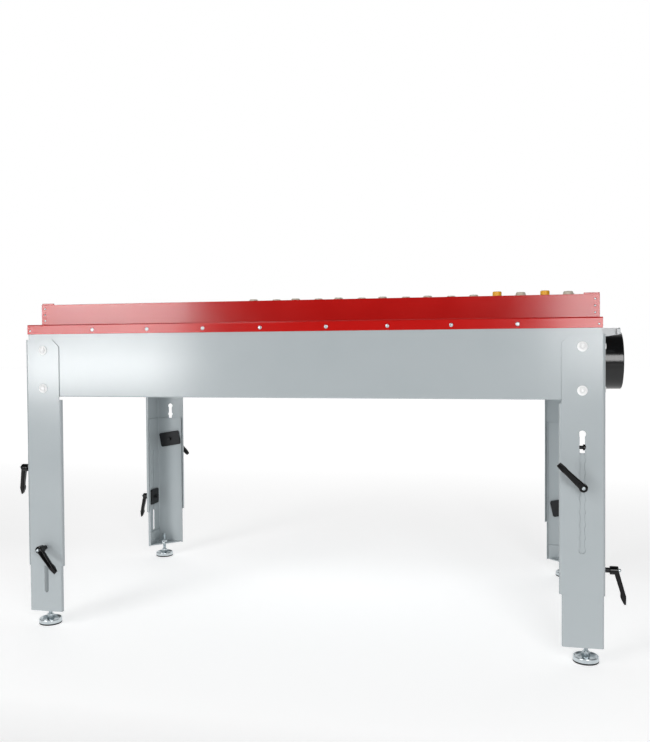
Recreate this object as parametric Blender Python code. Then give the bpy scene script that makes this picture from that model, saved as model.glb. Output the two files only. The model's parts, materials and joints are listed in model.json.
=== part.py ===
"""Downdraft sanding table: a suction trough with a lift-out grille on four telescopic folded-sheet legs.

Metres, +Z up. The origin is on the ground, under the middle of the object's bounding box.
+X runs along the table towards the exhaust spigot, and -Y is the front.
"""
import math

import bmesh
import bpy
from mathutils import Matrix, Vector

# Gaps between pieces
FIT = 0.0003                  # between faces that touch
STUD_CLEARANCE = 0.0004       # round a threaded stud in its hole

# Suction trough, outside
TABLE_LENGTH = 1.398
TABLE_WIDTH = 0.800
TROUGH_BOTTOM = 0.592
TROUGH_DEPTH = 0.181
TROUGH_SHEET = 0.002

# Red rim on top of the trough
RIM_SHEET = 0.0015
SKIRT_HEIGHT = 0.024
LEDGE_DEPTH = 0.068
UPSTAND_HEIGHT = 0.0545
SHELF_DEPTH = 0.022           # runs on behind the upstand and carries the grille
CORNER_TAB = 0.035            # end rim folded round the corner behind the upstand
TAB_RISE = 0.0035             # end rim stands this much higher

# Lift-out grille with support studs
GRILLE_SHEET = 0.002
GRILLE_DROP = 0.020           # grille face below the top of the upstand
GRILLE_SIDE_GAP = 0.0005
GRILLE_SLOT_LENGTH = 0.186
GRILLE_SLOT_WIDTH = 0.014
GRILLE_SLOT_PITCH = 0.230
GRILLE_ROW_PITCH = 0.100
STUD_FIRST_X = 0.0367
STUD_FRONT_INSET = 0.0468     # first row of studs behind the front upstand
STUD_END_MARGIN = 0.034
STUD_PITCH = 0.0545
STUD_STAGGER = 0.018
STUD_FOOT_RADIUS = 0.019
STUD_TOP_RADIUS = 0.0104
STUD_HEIGHT = 0.0315
STUD_SIDES = 6
SOFT_STUD_RADIUS = 0.0105
SOFT_STUD_EDGE = 0.0015
FRONT_ROW_STUDS = 4           # at the right-hand end of the first row
SECOND_ROW_STUDS = 15
SECOND_ROW_FIRST_X = 0.0140
SECOND_ROW_STEP = 0.090       # behind the first row
SECOND_ROW_PITCH = 0.0572
SECOND_ROW_STAGGER = 0.010
BACK_ROW_STEP = 4             # steps of the stud pitch between studs further back
RAIL_SHEET = 0.002
RAIL_WIDTH = 0.040
RAIL_BEND = 0.004
RAIL_SPACING = 0.760          # between the two cross rails under the grille

# Exhaust spigot on the right end
SPIGOT_RADIUS = 0.0757
SPIGOT_WALL = 0.003
SPIGOT_LENGTH = 0.0874        # outside the table end
SPIGOT_RISE = 0.0825          # axis above the bottom of the trough
SPIGOT_EDGE = 0.0025
SPIGOT_LIP_RADIUS = 0.0777    # rolled lip inside the trough
SPIGOT_LIP = 0.003
SPIGOT_SIDES = 32

# Folded bracket on the right end, in front of the spigot
BRACKET_SHEET = 0.002
BRACKET_REACH = 0.068
BRACKET_Y = -0.130
BRACKET_HEIGHT = 0.026        # at the table end of its arm
BRACKET_TIP_HEIGHT = 0.016
BRACKET_LIP = 0.012
BRACKET_TAB_WIDTH = 0.009     # end tab, turned to face the front
BRACKET_FOOT_HEIGHT = 0.048
BRACKET_FOOT_WIDTH = 0.030
BRACKET_BELOW_SKIRT = 0.003
BRACKET_ABOVE_SKIRT = 0.006   # arm's top edge above the skirt's lower edge

# Outer legs, folded sheet, bolted outside the trough's corners
LEG_SHEET = 0.002
LEG_WIDTH = 0.0980
LEG_LIP = 0.009
LEG_BEND = 0.006
LIP_BEND = 0.005
BEND_STEPS = 3
LEG_END_GAP = 0.0055          # spacers between a leg and the end of the trough
OUTER_LEG_BOTTOM = 0.1593
LEG_TOP_GAP = 0.0138          # below the skirt of the rim
LEG_CHAMFER = 0.018
LIP_TOP_GAP = 0.008           # lips end this far under the trough
LEG_CENTRE = 0.0490           # slots, levers and bolts, from the leg's outer corner

# Inner legs, sliding inside the outer ones
INNER_LEG_WIDTH = 0.0900
INNER_LEG_BOTTOM = 0.0415
INNER_LEG_TOP = 0.475
INNER_LEG_BEND = 0.004
FOOT_PLATE = 0.004
FOOT_PLATE_WIDTH = 0.080
FOOT_PLATE_TIP = 0.008         # blunt ends of the three-cornered plate
FOOT_FLANGE_HEIGHT = 0.045
FOOT_FLANGE_SHEET = 0.003

# Leg adjustment: a notched slot in one face, a straight slot in the other
NOTCH_LEVER_HEIGHT = 0.4025
SLOT_LEVER_HEIGHT = 0.2065
NOTCH_PITCH = 0.0286
NOTCHES_ABOVE = 4
NOTCHES_BELOW = 5
NOTCH_RADIUS = 0.0078
NOTCH_SLOT_WIDTH = 0.0108
NOTCH_STEPS = 2
STRAIGHT_SLOT_WIDTH = 0.0110
STRAIGHT_SLOT_BOTTOM = 0.090
STRAIGHT_SLOT_TOP = 0.366

# Clamping levers and their nut plates
LEVER_STUD_RADIUS = 0.0049
LEVER_STUD_PROUD = 0.010      # out of the back of the nut plate
COLLAR_RADIUS = 0.0057
COLLAR_HEIGHT = 0.0140
HUB_RADIUS = 0.0096
HUB_HEIGHT = 0.0186
HUB_CHAMFER = 0.002
LEVER_LENGTH = 0.0755
LEVER_RISE = 0.0146           # the arm leans away from the leg as far as its waist
LEVER_ROOT_PROUD = 0.0006     # arm's outer face beyond the end of the hub, on the axis
LEVER_ROOT_BACK = 0.0031      # the arm begins behind the axis
LEVER_ROOT_WIDTH = 0.0155
LEVER_WAIST_WIDTH = 0.0125
LEVER_GRIP_WIDTH = 0.0135
LEVER_TIP_WIDTH = 0.0105
LEVER_ROOT_THICKNESS = 0.0115
LEVER_WAIST_THICKNESS = 0.0105
LEVER_GRIP_THICKNESS = 0.0125
LEVER_NOSE_THICKNESS = 0.0103
LEVER_TIP_THICKNESS = 0.0045
LEVER_GRIP_LENGTH = 0.0192    # from the thumb step to the tip
LEVER_GRIP_STEP = 0.0045      # length of the slope up to the thumb step
LEVER_GRIP_RISE = 0.0014
LEVER_NOSE = 0.0105           # sloping end of the arm
LEVER_SCREW_RADIUS = 0.0042
LEVER_SCREW_HEIGHT = 0.0065
NOTCH_PLATE_SIZE = (0.072, 0.048)
SLOT_PLATE_SIZE = (0.058, 0.051)
NUT_PLATE_THICKNESS = 0.006
NUT_PLATE_CORNER = 0.004
NOTCH_PLATE_TILT = math.radians(-10)
SLOT_PLATE_TILT = {"back_right": math.radians(-12)}
ROUND_SIDES = 10

# Bolts that hold the legs to the trough, in pairs on a tapped strip
LEG_BOLT_RADIUS = 0.004
LEG_BOLT_HEAD_RADIUS = 0.0112
LEG_BOLT_HEAD_HEIGHT = 0.0055
LEG_BOLT_CROWN_RADIUS = 0.0062
LEG_BOLT_CROWN = 0.0035       # height of the domed part of the head
LEG_BOLT_SIDES = 8
LEG_SPACER_RADIUS = 0.009
LEG_BOLT_RISES = (0.118, 0.021)   # above the bottom of the trough
BOLT_STRIP_WIDTH = 0.028
BOLT_STRIP_END = 0.012
BOLT_STRIP_THICKNESS = 0.004

# Levelling feet
FOOT_INSET = 0.0380           # foot axis from the leg's outer corner, both ways
PAD_RADIUS = 0.0287
PAD_HEIGHT = 0.014
PAD_RIM = 0.0035
PAD_RIM_SLOPE = 0.002
PAD_DISH = 0.004              # sloping wall inside the rim
PAD_FLOOR = 0.008
PAD_SIDES = 20
SPINDLE_RADIUS = 0.005
SPINDLE_HEX = 0.016           # across flats
SPINDLE_HEX_HEIGHT = 0.016
SPINDLE_TOP = 0.076
SPINDLE_CHAMFER = 0.00125
LOCK_NUT_HEX = 0.017
LOCK_NUT_HEIGHT = 0.008

# Arm directions of the clamping levers, turned from straight up, anticlockwise seen from outside
CORNERS = ("front_right", "front_left", "back_left", "back_right")
CORNER_TURN = {"front_right": 0, "front_left": -90, "back_left": 180, "back_right": 90}
CORNER_SIGN = {"front_right": (1, -1), "front_left": (-1, -1), "back_left": (-1, 1), "back_right": (1, 1)}
NOTCH_LEVER_ANGLE = {"front_right": 45, "front_left": 163, "back_left": 143, "back_right": 270}
SLOT_LEVER_ANGLE = {"front_right": 180, "front_left": 228, "back_left": 169, "back_right": 180}
LEVER_SLACK = {"notch_lever_front_left": 0.012}   # a lever that is screwed out by this much

# Fineness of rounded shapes
SLOT_END_STEPS = 6
SHARP_ANGLE = math.radians(35)

# Heights and faces worked out from the sizes above
TROUGH_TOP = TROUGH_BOTTOM + TROUGH_DEPTH
LEDGE_UNDER = TROUGH_TOP + FIT
LEDGE_TOP = LEDGE_UNDER + RIM_SHEET
SKIRT_BOTTOM = LEDGE_TOP - SKIRT_HEIGHT
UPSTAND_TOP = LEDGE_TOP + UPSTAND_HEIGHT
GRILLE_TOP = UPSTAND_TOP - GRILLE_DROP
SPIGOT_HEIGHT = TROUGH_BOTTOM + SPIGOT_RISE
OUTER_LEG_TOP = SKIRT_BOTTOM - LEG_TOP_GAP
LEG_BOLT_HEIGHTS = tuple(TROUGH_BOTTOM + rise for rise in LEG_BOLT_RISES)
HALF_LENGTH = TABLE_LENGTH / 2
HALF_WIDTH = TABLE_WIDTH / 2
RIM_X = HALF_LENGTH + FIT + RIM_SHEET
RIM_Y = HALF_WIDTH + FIT + RIM_SHEET
UPSTAND_Y = RIM_Y - LEDGE_DEPTH
LEG_X = HALF_LENGTH + LEG_END_GAP + LEG_SHEET
LEG_Y = HALF_WIDTH + FIT + LEG_SHEET
INNER_LEG_INSET = LEG_SHEET + FIT
NUT_PLATE_FACE = INNER_LEG_INSET + LEG_SHEET + FIT
FOOT_PLATE_TOP = INNER_LEG_BOTTOM + FOOT_PLATE


def clear_scene():
    for item in list(bpy.data.objects):
        bpy.data.objects.remove(item, do_unlink=True)


def material(name, colour, roughness, metallic):
    result = bpy.data.materials.new(name)
    result.use_nodes = True
    shader = result.node_tree.nodes["Principled BSDF"]
    shader.inputs["Base Color"].default_value = (*colour, 1.0)
    shader.inputs["Roughness"].default_value = roughness
    shader.inputs["Metallic"].default_value = metallic
    return result


def to_mesh(bm, name):
    bmesh.ops.recalc_face_normals(bm, faces=bm.faces)
    mesh = bpy.data.meshes.new(name)
    bm.to_mesh(mesh)
    bm.free()
    return mesh


def add_box(bm, low, high):
    low, high = Vector(low), Vector(high)
    place = Matrix.Translation((low + high) / 2) @ Matrix.Diagonal((*(high - low), 1.0))
    bmesh.ops.create_cube(bm, size=1.0, matrix=place)


def add_prism(bm, outline, low, high, place=Matrix()):
    """Extrude an outline in X and Y from low to high along Z, then put it in place."""
    before = set(bm.verts)
    face = bm.faces.new([bm.verts.new((x, y, low)) for x, y in outline])
    grown = bmesh.ops.extrude_face_region(bm, geom=[face])["geom"]
    top = [item for item in grown if isinstance(item, bmesh.types.BMVert)]
    bmesh.ops.translate(bm, vec=(0, 0, high - low), verts=top)
    added = [vert for vert in bm.verts if vert not in before]
    bmesh.ops.transform(bm, matrix=place, verts=added)


def add_turned(bm, profile, sides, place=Matrix()):
    """Turn a profile of (radius, height) points about Z; a zero radius closes an end."""
    before = set(bm.verts)
    rings = []
    for radius, height in profile:
        steps = [math.tau * step / sides for step in range(sides)]
        if radius == 0:
            rings.append([bm.verts.new((0, 0, height))])
        else:
            rings.append([bm.verts.new((radius * math.cos(a), radius * math.sin(a), height)) for a in steps])
    for lower, upper in zip(rings, rings[1:]):
        for step in range(sides):
            after = (step + 1) % sides
            if len(lower) == 1:
                bm.faces.new((lower[0], upper[step], upper[after]))
            elif len(upper) == 1:
                bm.faces.new((lower[step], lower[after], upper[0]))
            else:
                bm.faces.new((lower[step], lower[after], upper[after], upper[step]))
    if len(rings[0]) > 1 and profile[0] != profile[-1]:
        bm.faces.new(rings[0])
    if len(rings[-1]) > 1 and profile[0] != profile[-1]:
        bm.faces.new(rings[-1])
    if profile[0] == profile[-1]:
        bmesh.ops.remove_doubles(bm, verts=rings[0] + rings[-1], dist=1e-6)
    added = [vert for vert in bm.verts if vert not in before]
    bmesh.ops.transform(bm, matrix=place, verts=added)


def add_loft(bm, rings):
    """Skin closed rings of equal length and cap both ends."""
    loops = [[bm.verts.new(point) for point in ring] for ring in rings]
    for lower, upper in zip(loops, loops[1:]):
        count = len(lower)
        for step in range(count):
            after = (step + 1) % count
            bm.faces.new((lower[step], lower[after], upper[after], upper[step]))
    bm.faces.new(loops[0])
    bm.faces.new(loops[-1])


def combined(base, others, operation, name):
    """Apply Boolean modifiers to a mesh and keep the result as a new mesh."""
    holder = bpy.data.objects.new(name, base)
    bpy.context.scene.collection.objects.link(holder)
    tools = []
    for index, mesh in enumerate(others):
        tool = bpy.data.objects.new(f"{name}_tool_{index}", mesh)
        tool.hide_render = True
        tool.display_type = "WIRE"
        bpy.context.scene.collection.objects.link(tool)
        modifier = holder.modifiers.new(f"step_{index}", "BOOLEAN")
        modifier.operation = operation
        modifier.solver = "EXACT"
        modifier.object = tool
        tools.append(tool)
    graph = bpy.context.evaluated_depsgraph_get()
    result = bpy.data.meshes.new_from_object(holder.evaluated_get(graph), depsgraph=graph)
    result.name = name
    for item in [holder, *tools]:
        bpy.data.objects.remove(item, do_unlink=True)
    return result


def mesh_from(name, build):
    """Make a mesh with one call of build, which fills a fresh bmesh."""
    bm = bmesh.new()
    build(bm)
    return to_mesh(bm, name)


def box_mesh(name, low, high):
    return mesh_from(name, lambda bm: add_box(bm, low, high))


def joined_boxes(name, boxes):
    meshes = [box_mesh(f"{name}_{index}", low, high) for index, (low, high) in enumerate(boxes)]
    return combined(meshes[0], meshes[1:], "UNION", name)


def place_node(name, mesh, finish, parent, location=(0, 0, 0), turn=Matrix(), smooth=False):
    node = bpy.data.objects.new(name, mesh)
    bpy.context.scene.collection.objects.link(node)
    if not mesh.materials:
        mesh.materials.append(finish)
    if smooth:
        mesh.shade_smooth()
        mesh.set_sharp_from_angle(angle=SHARP_ANGLE)
    node.parent = parent
    node.matrix_local = Matrix.Translation(location) @ turn
    return node


def anchor(name, parent, location=(0, 0, 0), turn=Matrix()):
    empty = bpy.data.objects.new(name, None)
    bpy.context.scene.collection.objects.link(empty)
    empty.parent = parent
    empty.matrix_local = Matrix.Translation(location) @ turn
    return empty


def circle(radius, sides, centre=(0.0, 0.0)):
    steps = [math.tau * (step + 0.5) / sides for step in range(sides)]
    return [(centre[0] + radius * math.cos(a), centre[1] + radius * math.sin(a)) for a in steps]


def hole(radius, centre=(0.0, 0.0), sides=ROUND_SIDES):
    """Outline of a hole whose flats clear a round piece of that radius."""
    return circle((radius + STUD_CLEARANCE) / math.cos(math.pi / sides), sides, centre)


def hexagon(across_flats):
    return circle(across_flats / math.sqrt(3), 6)


def chamfered(length, width, cut):
    x, y = length / 2, width / 2
    return [(x - cut, -y), (x, cut - y), (x, y - cut), (x - cut, y),
            (cut - x, y), (-x, y - cut), (-x, cut - y), (cut - x, -y)]


def folded_outline(path, sheet, bends):
    """Outline of a sheet folded along its outer face, turning left by a bend at each inner point of the path."""
    points = [Vector(point) for point in path]
    runs = [(b - a).normalized() for a, b in zip(points, points[1:])]
    inward = [Vector((-run.y, run.x)) for run in runs]
    outer, inner = [points[0]], [points[0] + inward[0] * sheet]
    for corner, run, following, bend in zip(points[1:-1], runs, runs[1:], bends):
        centre = corner - run * bend + following * bend
        for step in range(BEND_STEPS + 1):
            angle = math.pi / 2 * step / BEND_STEPS
            ray = run * math.sin(angle) - following * math.cos(angle)
            outer.append(centre + ray * bend)
            inner.append(centre + ray * (bend - sheet))
    outer.append(points[-1])
    inner.append(points[-1] + inward[-1] * sheet)
    return [tuple(point) for point in outer + inner[::-1]]


def straight_slot(width, low, high):
    """Round-ended slot along the second coordinate."""
    radius = width / 2
    ends = [math.pi * step / SLOT_END_STEPS for step in range(SLOT_END_STEPS + 1)]
    upper = [(radius * math.cos(a), high - radius + radius * math.sin(a)) for a in ends]
    lower = [(-radius * math.cos(a), low + radius - radius * math.sin(a)) for a in ends]
    return upper + lower


def notched_slot():
    """Slot with round notches at a steady pitch, measured from the notch that is in use."""
    half = NOTCH_SLOT_WIDTH / 2
    opening = math.asin(half / NOTCH_RADIUS)
    right = []
    for notch in range(-NOTCHES_BELOW, NOTCHES_ABOVE + 1):
        first = -math.pi / 2 if notch == -NOTCHES_BELOW else opening - math.pi / 2
        last = math.pi / 2 if notch == NOTCHES_ABOVE else math.pi / 2 - opening
        for step in range(NOTCH_STEPS + 1):
            angle = first + (last - first) * step / NOTCH_STEPS
            height = notch * NOTCH_PITCH + NOTCH_RADIUS * math.sin(angle)
            right.append((NOTCH_RADIUS * math.cos(angle), height))
    left = [(-x, z) for x, z in reversed(right)]
    return right + left[1:-1]


def face_a(height):
    """Frame on a leg's notched face: X along the face, Y up, Z out of it."""
    return Matrix.Translation((-LEG_CENTRE, 0, height)) @ Matrix.Rotation(math.pi / 2, 4, "X")


def face_b(height):
    """Frame on a leg's other face: X along the face, Y up, Z out of it."""
    turn = Matrix.Rotation(math.pi / 2, 4, "Z") @ Matrix.Rotation(math.pi / 2, 4, "X")
    return Matrix.Translation((0, LEG_CENTRE, height)) @ turn


def outer_leg_mesh():
    width, lip = LEG_WIDTH, LEG_LIP
    path = [(-width, lip), (-width, 0), (0, 0), (0, width), (-lip, width)]
    outline = folded_outline(path, LEG_SHEET, (LIP_BEND, LEG_BEND, LIP_BEND))
    blank = mesh_from("outer_leg_blank", lambda bm: add_prism(bm, outline, OUTER_LEG_BOTTOM, OUTER_LEG_TOP))
    lip_top = TROUGH_BOTTOM - LIP_TOP_GAP
    plate = width - LIP_BEND - FIT

    def cuts(bm):
        for face in (face_a(0), face_b(0)):
            # The lips stop under the trough, and the plate's upper corner is cut off.
            side = -1 if face.translation.x else 1
            edge = plate - LEG_CENTRE
            above = OUTER_LEG_TOP + LEG_CHAMFER
            outline_cut = [(edge, lip_top), (width, lip_top), (width, above), (edge - LEG_CHAMFER, above),
                           (edge - LEG_CHAMFER, OUTER_LEG_TOP), (edge, OUTER_LEG_TOP - LEG_CHAMFER)]
            add_prism(bm, [(side * x, z) for x, z in outline_cut], -LEG_LIP * 2, LEG_SHEET, face)
            for height in LEG_BOLT_HEIGHTS:
                bolt_hole = hole(LEG_BOLT_RADIUS, (0, height), LEG_BOLT_SIDES)
                add_prism(bm, bolt_hole, -LEG_SHEET * 2, LEG_SHEET, face)
        add_prism(bm, notched_slot(), -LEG_SHEET * 2, LEG_SHEET, face_a(NOTCH_LEVER_HEIGHT))
        add_prism(bm, hole(LEVER_STUD_RADIUS), -LEG_SHEET * 2, LEG_SHEET, face_b(SLOT_LEVER_HEIGHT))

    return combined(blank, [mesh_from("outer_leg_cuts", cuts)], "DIFFERENCE", "outer_leg")


def inner_leg_mesh():
    near = INNER_LEG_INSET
    far = near + INNER_LEG_WIDTH
    lip = near + LEG_LIP
    path = [(-far, lip), (-far, near), (-near, near), (-near, far), (-lip, far)]
    outline = folded_outline(path, LEG_SHEET, [INNER_LEG_BEND] * 3)
    blank = mesh_from("inner_leg_blank", lambda bm: add_prism(bm, outline, INNER_LEG_BOTTOM, INNER_LEG_TOP))
    # The foot plate and its upright flange are welded in: they reach half into the sheet.
    weld = near + LEG_SHEET / 2
    plate_far = near + FOOT_PLATE_WIDTH
    flange_face = near + LEG_SHEET + FOOT_FLANGE_SHEET
    side = INNER_LEG_BEND + LEG_SHEET
    tip = weld + FOOT_PLATE_TIP
    corners = [(-weld, weld), (-weld, plate_far), (-tip, plate_far), (-plate_far, tip), (-plate_far, weld)]
    plate = mesh_from("foot_plate", lambda bm: add_prism(bm, corners, INNER_LEG_BOTTOM + FIT, FOOT_PLATE_TOP))
    flange = box_mesh("foot_flange", (-flange_face, near + side, INNER_LEG_BOTTOM + FOOT_PLATE / 2),
                      (-weld, far - side, INNER_LEG_BOTTOM + FOOT_FLANGE_HEIGHT))
    welded = combined(blank, [plate, flange], "UNION", "inner_leg_welded")

    def cuts(bm):
        deep = INNER_LEG_INSET + LEG_SHEET * 2
        add_prism(bm, hole(LEVER_STUD_RADIUS), -deep, 0, face_a(NOTCH_LEVER_HEIGHT))
        slot = straight_slot(STRAIGHT_SLOT_WIDTH, STRAIGHT_SLOT_BOTTOM, STRAIGHT_SLOT_TOP)
        add_prism(bm, slot, -deep, 0, face_b(0))
        foot_hole = hole(SPINDLE_RADIUS, (-FOOT_INSET, FOOT_INSET))
        add_prism(bm, foot_hole, INNER_LEG_BOTTOM - FOOT_PLATE, FOOT_PLATE_TOP + FOOT_PLATE)

    return combined(welded, [mesh_from("inner_leg_cuts", cuts)], "DIFFERENCE", "inner_leg")


def lever_ring(distance, outer, width, thickness):
    """Chamfered cross-section of the lever's arm, square to its length along Y, under its outer face."""
    centre = outer - thickness / 2
    return [(x, distance, centre + z) for x, z in chamfered(width, thickness, thickness / 4)]


def lever_mesh():
    """Clamping lever with its threaded stud: Z out of the leg's face, the arm along Y."""
    stud_end = -(NUT_PLATE_FACE + NUT_PLATE_THICKNESS + LEVER_STUD_PROUD)
    hub_top = COLLAR_HEIGHT + HUB_HEIGHT
    screw_top = hub_top + LEVER_SCREW_HEIGHT
    profile = [(LEVER_STUD_RADIUS, stud_end), (LEVER_STUD_RADIUS, FIT), (COLLAR_RADIUS, FIT),
               (COLLAR_RADIUS, COLLAR_HEIGHT), (HUB_RADIUS, COLLAR_HEIGHT),
               (HUB_RADIUS, hub_top - HUB_CHAMFER), (HUB_RADIUS - HUB_CHAMFER, hub_top),
               (LEVER_SCREW_RADIUS, hub_top), (LEVER_SCREW_RADIUS, screw_top)]
    hub = mesh_from("lever_hub", lambda bm: add_turned(bm, profile, ROUND_SIDES))
    grip = LEVER_LENGTH - LEVER_GRIP_LENGTH
    root_outer = hub_top + LEVER_ROOT_PROUD
    waist_outer = root_outer + LEVER_RISE
    grip_outer = waist_outer + LEVER_GRIP_RISE
    rings = [lever_ring(-LEVER_ROOT_BACK, root_outer, LEVER_ROOT_WIDTH, LEVER_ROOT_THICKNESS),
             lever_ring(grip - LEVER_GRIP_STEP, waist_outer, LEVER_WAIST_WIDTH, LEVER_WAIST_THICKNESS),
             lever_ring(grip, grip_outer, LEVER_GRIP_WIDTH, LEVER_GRIP_THICKNESS),
             lever_ring(LEVER_LENGTH - LEVER_NOSE, grip_outer, LEVER_GRIP_WIDTH, LEVER_NOSE_THICKNESS),
             lever_ring(LEVER_LENGTH, grip_outer, LEVER_TIP_WIDTH, LEVER_TIP_THICKNESS)]
    arm = mesh_from("lever_arm", lambda bm: add_loft(bm, rings))
    return combined(hub, [arm], "UNION", "clamp_lever")


def nut_plate_mesh(length, width):
    """Plate with a tapped hole, behind both legs; Z points out of the leg's face."""
    outline = chamfered(length, width, NUT_PLATE_CORNER)
    back, front = -(NUT_PLATE_FACE + NUT_PLATE_THICKNESS), -NUT_PLATE_FACE
    plate = mesh_from("nut_plate_blank", lambda bm: add_prism(bm, outline, back, front))
    cut = mesh_from("nut_plate_hole", lambda bm: add_prism(bm, hole(LEVER_STUD_RADIUS), back * 2, 0))
    return combined(plate, [cut], "DIFFERENCE", "nut_plate")


def leg_bolts_mesh(gap):
    """Two bolts through the leg and the trough's wall into one tapped strip; Z out of the leg's face.

    A spacer goes round each bolt where the gap between the leg and the wall is more than a fit.
    """
    wall = LEG_SHEET + gap + TROUGH_SHEET + FIT
    back = -(wall + BOLT_STRIP_THICKNESS)
    high, low = max(LEG_BOLT_HEIGHTS) + BOLT_STRIP_END, min(LEG_BOLT_HEIGHTS) - BOLT_STRIP_END
    strip = box_mesh("bolt_strip", (-BOLT_STRIP_WIDTH / 2, low, back), (BOLT_STRIP_WIDTH / 2, high, -wall))
    crown = LEG_BOLT_HEAD_HEIGHT + FIT
    spacer = [(LEG_BOLT_RADIUS, FIT - LEG_SHEET - gap), (LEG_SPACER_RADIUS, FIT - LEG_SHEET - gap),
              (LEG_SPACER_RADIUS, -LEG_SHEET - FIT), (LEG_BOLT_RADIUS, -LEG_SHEET - FIT)] if gap > FIT else []
    profile = [(LEG_BOLT_RADIUS, back + BOLT_STRIP_THICKNESS / 2), *spacer, (LEG_BOLT_RADIUS, FIT),
               (LEG_BOLT_HEAD_RADIUS, FIT), (LEG_BOLT_HEAD_RADIUS, crown - LEG_BOLT_CROWN),
               (LEG_BOLT_CROWN_RADIUS, crown)]

    def bolts(bm):
        for height in LEG_BOLT_HEIGHTS:
            add_turned(bm, profile, LEG_BOLT_SIDES, Matrix.Translation((0, height, 0)))

    return combined(strip, [mesh_from("bolt_pair", bolts)], "UNION", "leg_bolts")


def foot_pad_mesh():
    """Dished pad: a raised rim round a lower floor, standing on the ground."""
    inner = PAD_RADIUS - PAD_RIM
    profile = [(0, 0), (PAD_RADIUS, 0), (PAD_RADIUS, PAD_HEIGHT - PAD_RIM_SLOPE),
               (PAD_RADIUS - PAD_RIM / 2, PAD_HEIGHT), (inner, PAD_HEIGHT - PAD_RIM_SLOPE),
               (inner - PAD_DISH, PAD_FLOOR), (0, PAD_FLOOR)]
    return mesh_from("foot_pad", lambda bm: add_turned(bm, profile, PAD_SIDES))


def foot_spindle_mesh():
    """Threaded spindle with a hexagon at its foot, standing in the pad."""
    low = PAD_FLOOR + FIT
    high = low + SPINDLE_HEX_HEIGHT
    hexagon_mesh = mesh_from("spindle_hex", lambda bm: add_prism(bm, hexagon(SPINDLE_HEX), low, high))
    rod = [(SPINDLE_RADIUS, low + SPINDLE_HEX_HEIGHT / 2), (SPINDLE_RADIUS, SPINDLE_TOP - SPINDLE_CHAMFER),
           (SPINDLE_RADIUS - SPINDLE_CHAMFER, SPINDLE_TOP)]
    rod_mesh = mesh_from("spindle_rod", lambda bm: add_turned(bm, rod, ROUND_SIDES))
    return combined(hexagon_mesh, [rod_mesh], "UNION", "foot_spindle")


def lock_nut_mesh():
    """Nut on the spindle, above the leg's foot plate."""
    low = FOOT_PLATE_TOP + FIT
    high = low + LOCK_NUT_HEIGHT
    nut = mesh_from("lock_nut_blank", lambda bm: add_prism(bm, hexagon(LOCK_NUT_HEX), low, high))
    bore = mesh_from("lock_nut_bore", lambda bm: add_prism(bm, hole(SPINDLE_RADIUS), 0, high * 2))
    return combined(nut, [bore], "DIFFERENCE", "lock_nut")


def bolt_hole_cutters(name, along, through):
    """Cutters for the bolts of the two legs at the ends of one trough wall."""
    def holes(bm):
        for sign in (-1, 1):
            for height in LEG_BOLT_HEIGHTS:
                outline = hole(LEG_BOLT_RADIUS, (sign * along, height), LEG_BOLT_SIDES)
                add_prism(bm, outline, -TROUGH_SHEET * 2, TROUGH_SHEET * 2, through)
    return mesh_from(name, holes)


def make_trough(table, grey):
    inside_x = HALF_LENGTH - TROUGH_SHEET - FIT
    inside_y = HALF_WIDTH - TROUGH_SHEET
    wall_x = HALF_LENGTH - FIT
    across = Matrix.Rotation(math.pi / 2, 4, "X")
    along = Matrix.Rotation(math.pi / 2, 4, "Z") @ across
    for name, sign in (("trough_front", -1), ("trough_back", 1)):
        edges = sorted((sign * HALF_WIDTH, sign * inside_y))
        wall = box_mesh(name, (-wall_x, edges[0], TROUGH_BOTTOM), (wall_x, edges[1], TROUGH_TOP))
        cut = bolt_hole_cutters(f"{name}_holes", LEG_X - LEG_CENTRE,
                                Matrix.Translation((0, sign * HALF_WIDTH, 0)) @ across)
        place_node(name, combined(wall, [cut], "DIFFERENCE", name), grey, table)
    end_y = inside_y - FIT
    for name, sign in (("trough_left_end", -1), ("trough_right_end", 1)):
        edges = sorted((sign * HALF_LENGTH, sign * (HALF_LENGTH - TROUGH_SHEET)))
        wall = box_mesh(name, (edges[0], -end_y, TROUGH_BOTTOM), (edges[1], end_y, TROUGH_TOP))
        through = Matrix.Translation((sign * HALF_LENGTH, 0, 0)) @ along
        cutters = [bolt_hole_cutters(f"{name}_holes", LEG_Y - LEG_CENTRE, through)]
        if sign > 0:
            bore = hole(SPIGOT_RADIUS, (0, SPIGOT_HEIGHT), SPIGOT_SIDES)
            deep = TROUGH_SHEET * 2
            cutters.append(mesh_from("duct_hole", lambda bm: add_prism(bm, bore, -deep, deep, through)))
        place_node(name, combined(wall, cutters, "DIFFERENCE", name), grey, table)
    floor_y = inside_y - FIT
    floor = box_mesh("trough_floor", (-inside_x, -floor_y, TROUGH_BOTTOM),
                     (inside_x, floor_y, TROUGH_BOTTOM + TROUGH_SHEET))
    place_node("trough_floor", floor, grey, table)


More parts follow.
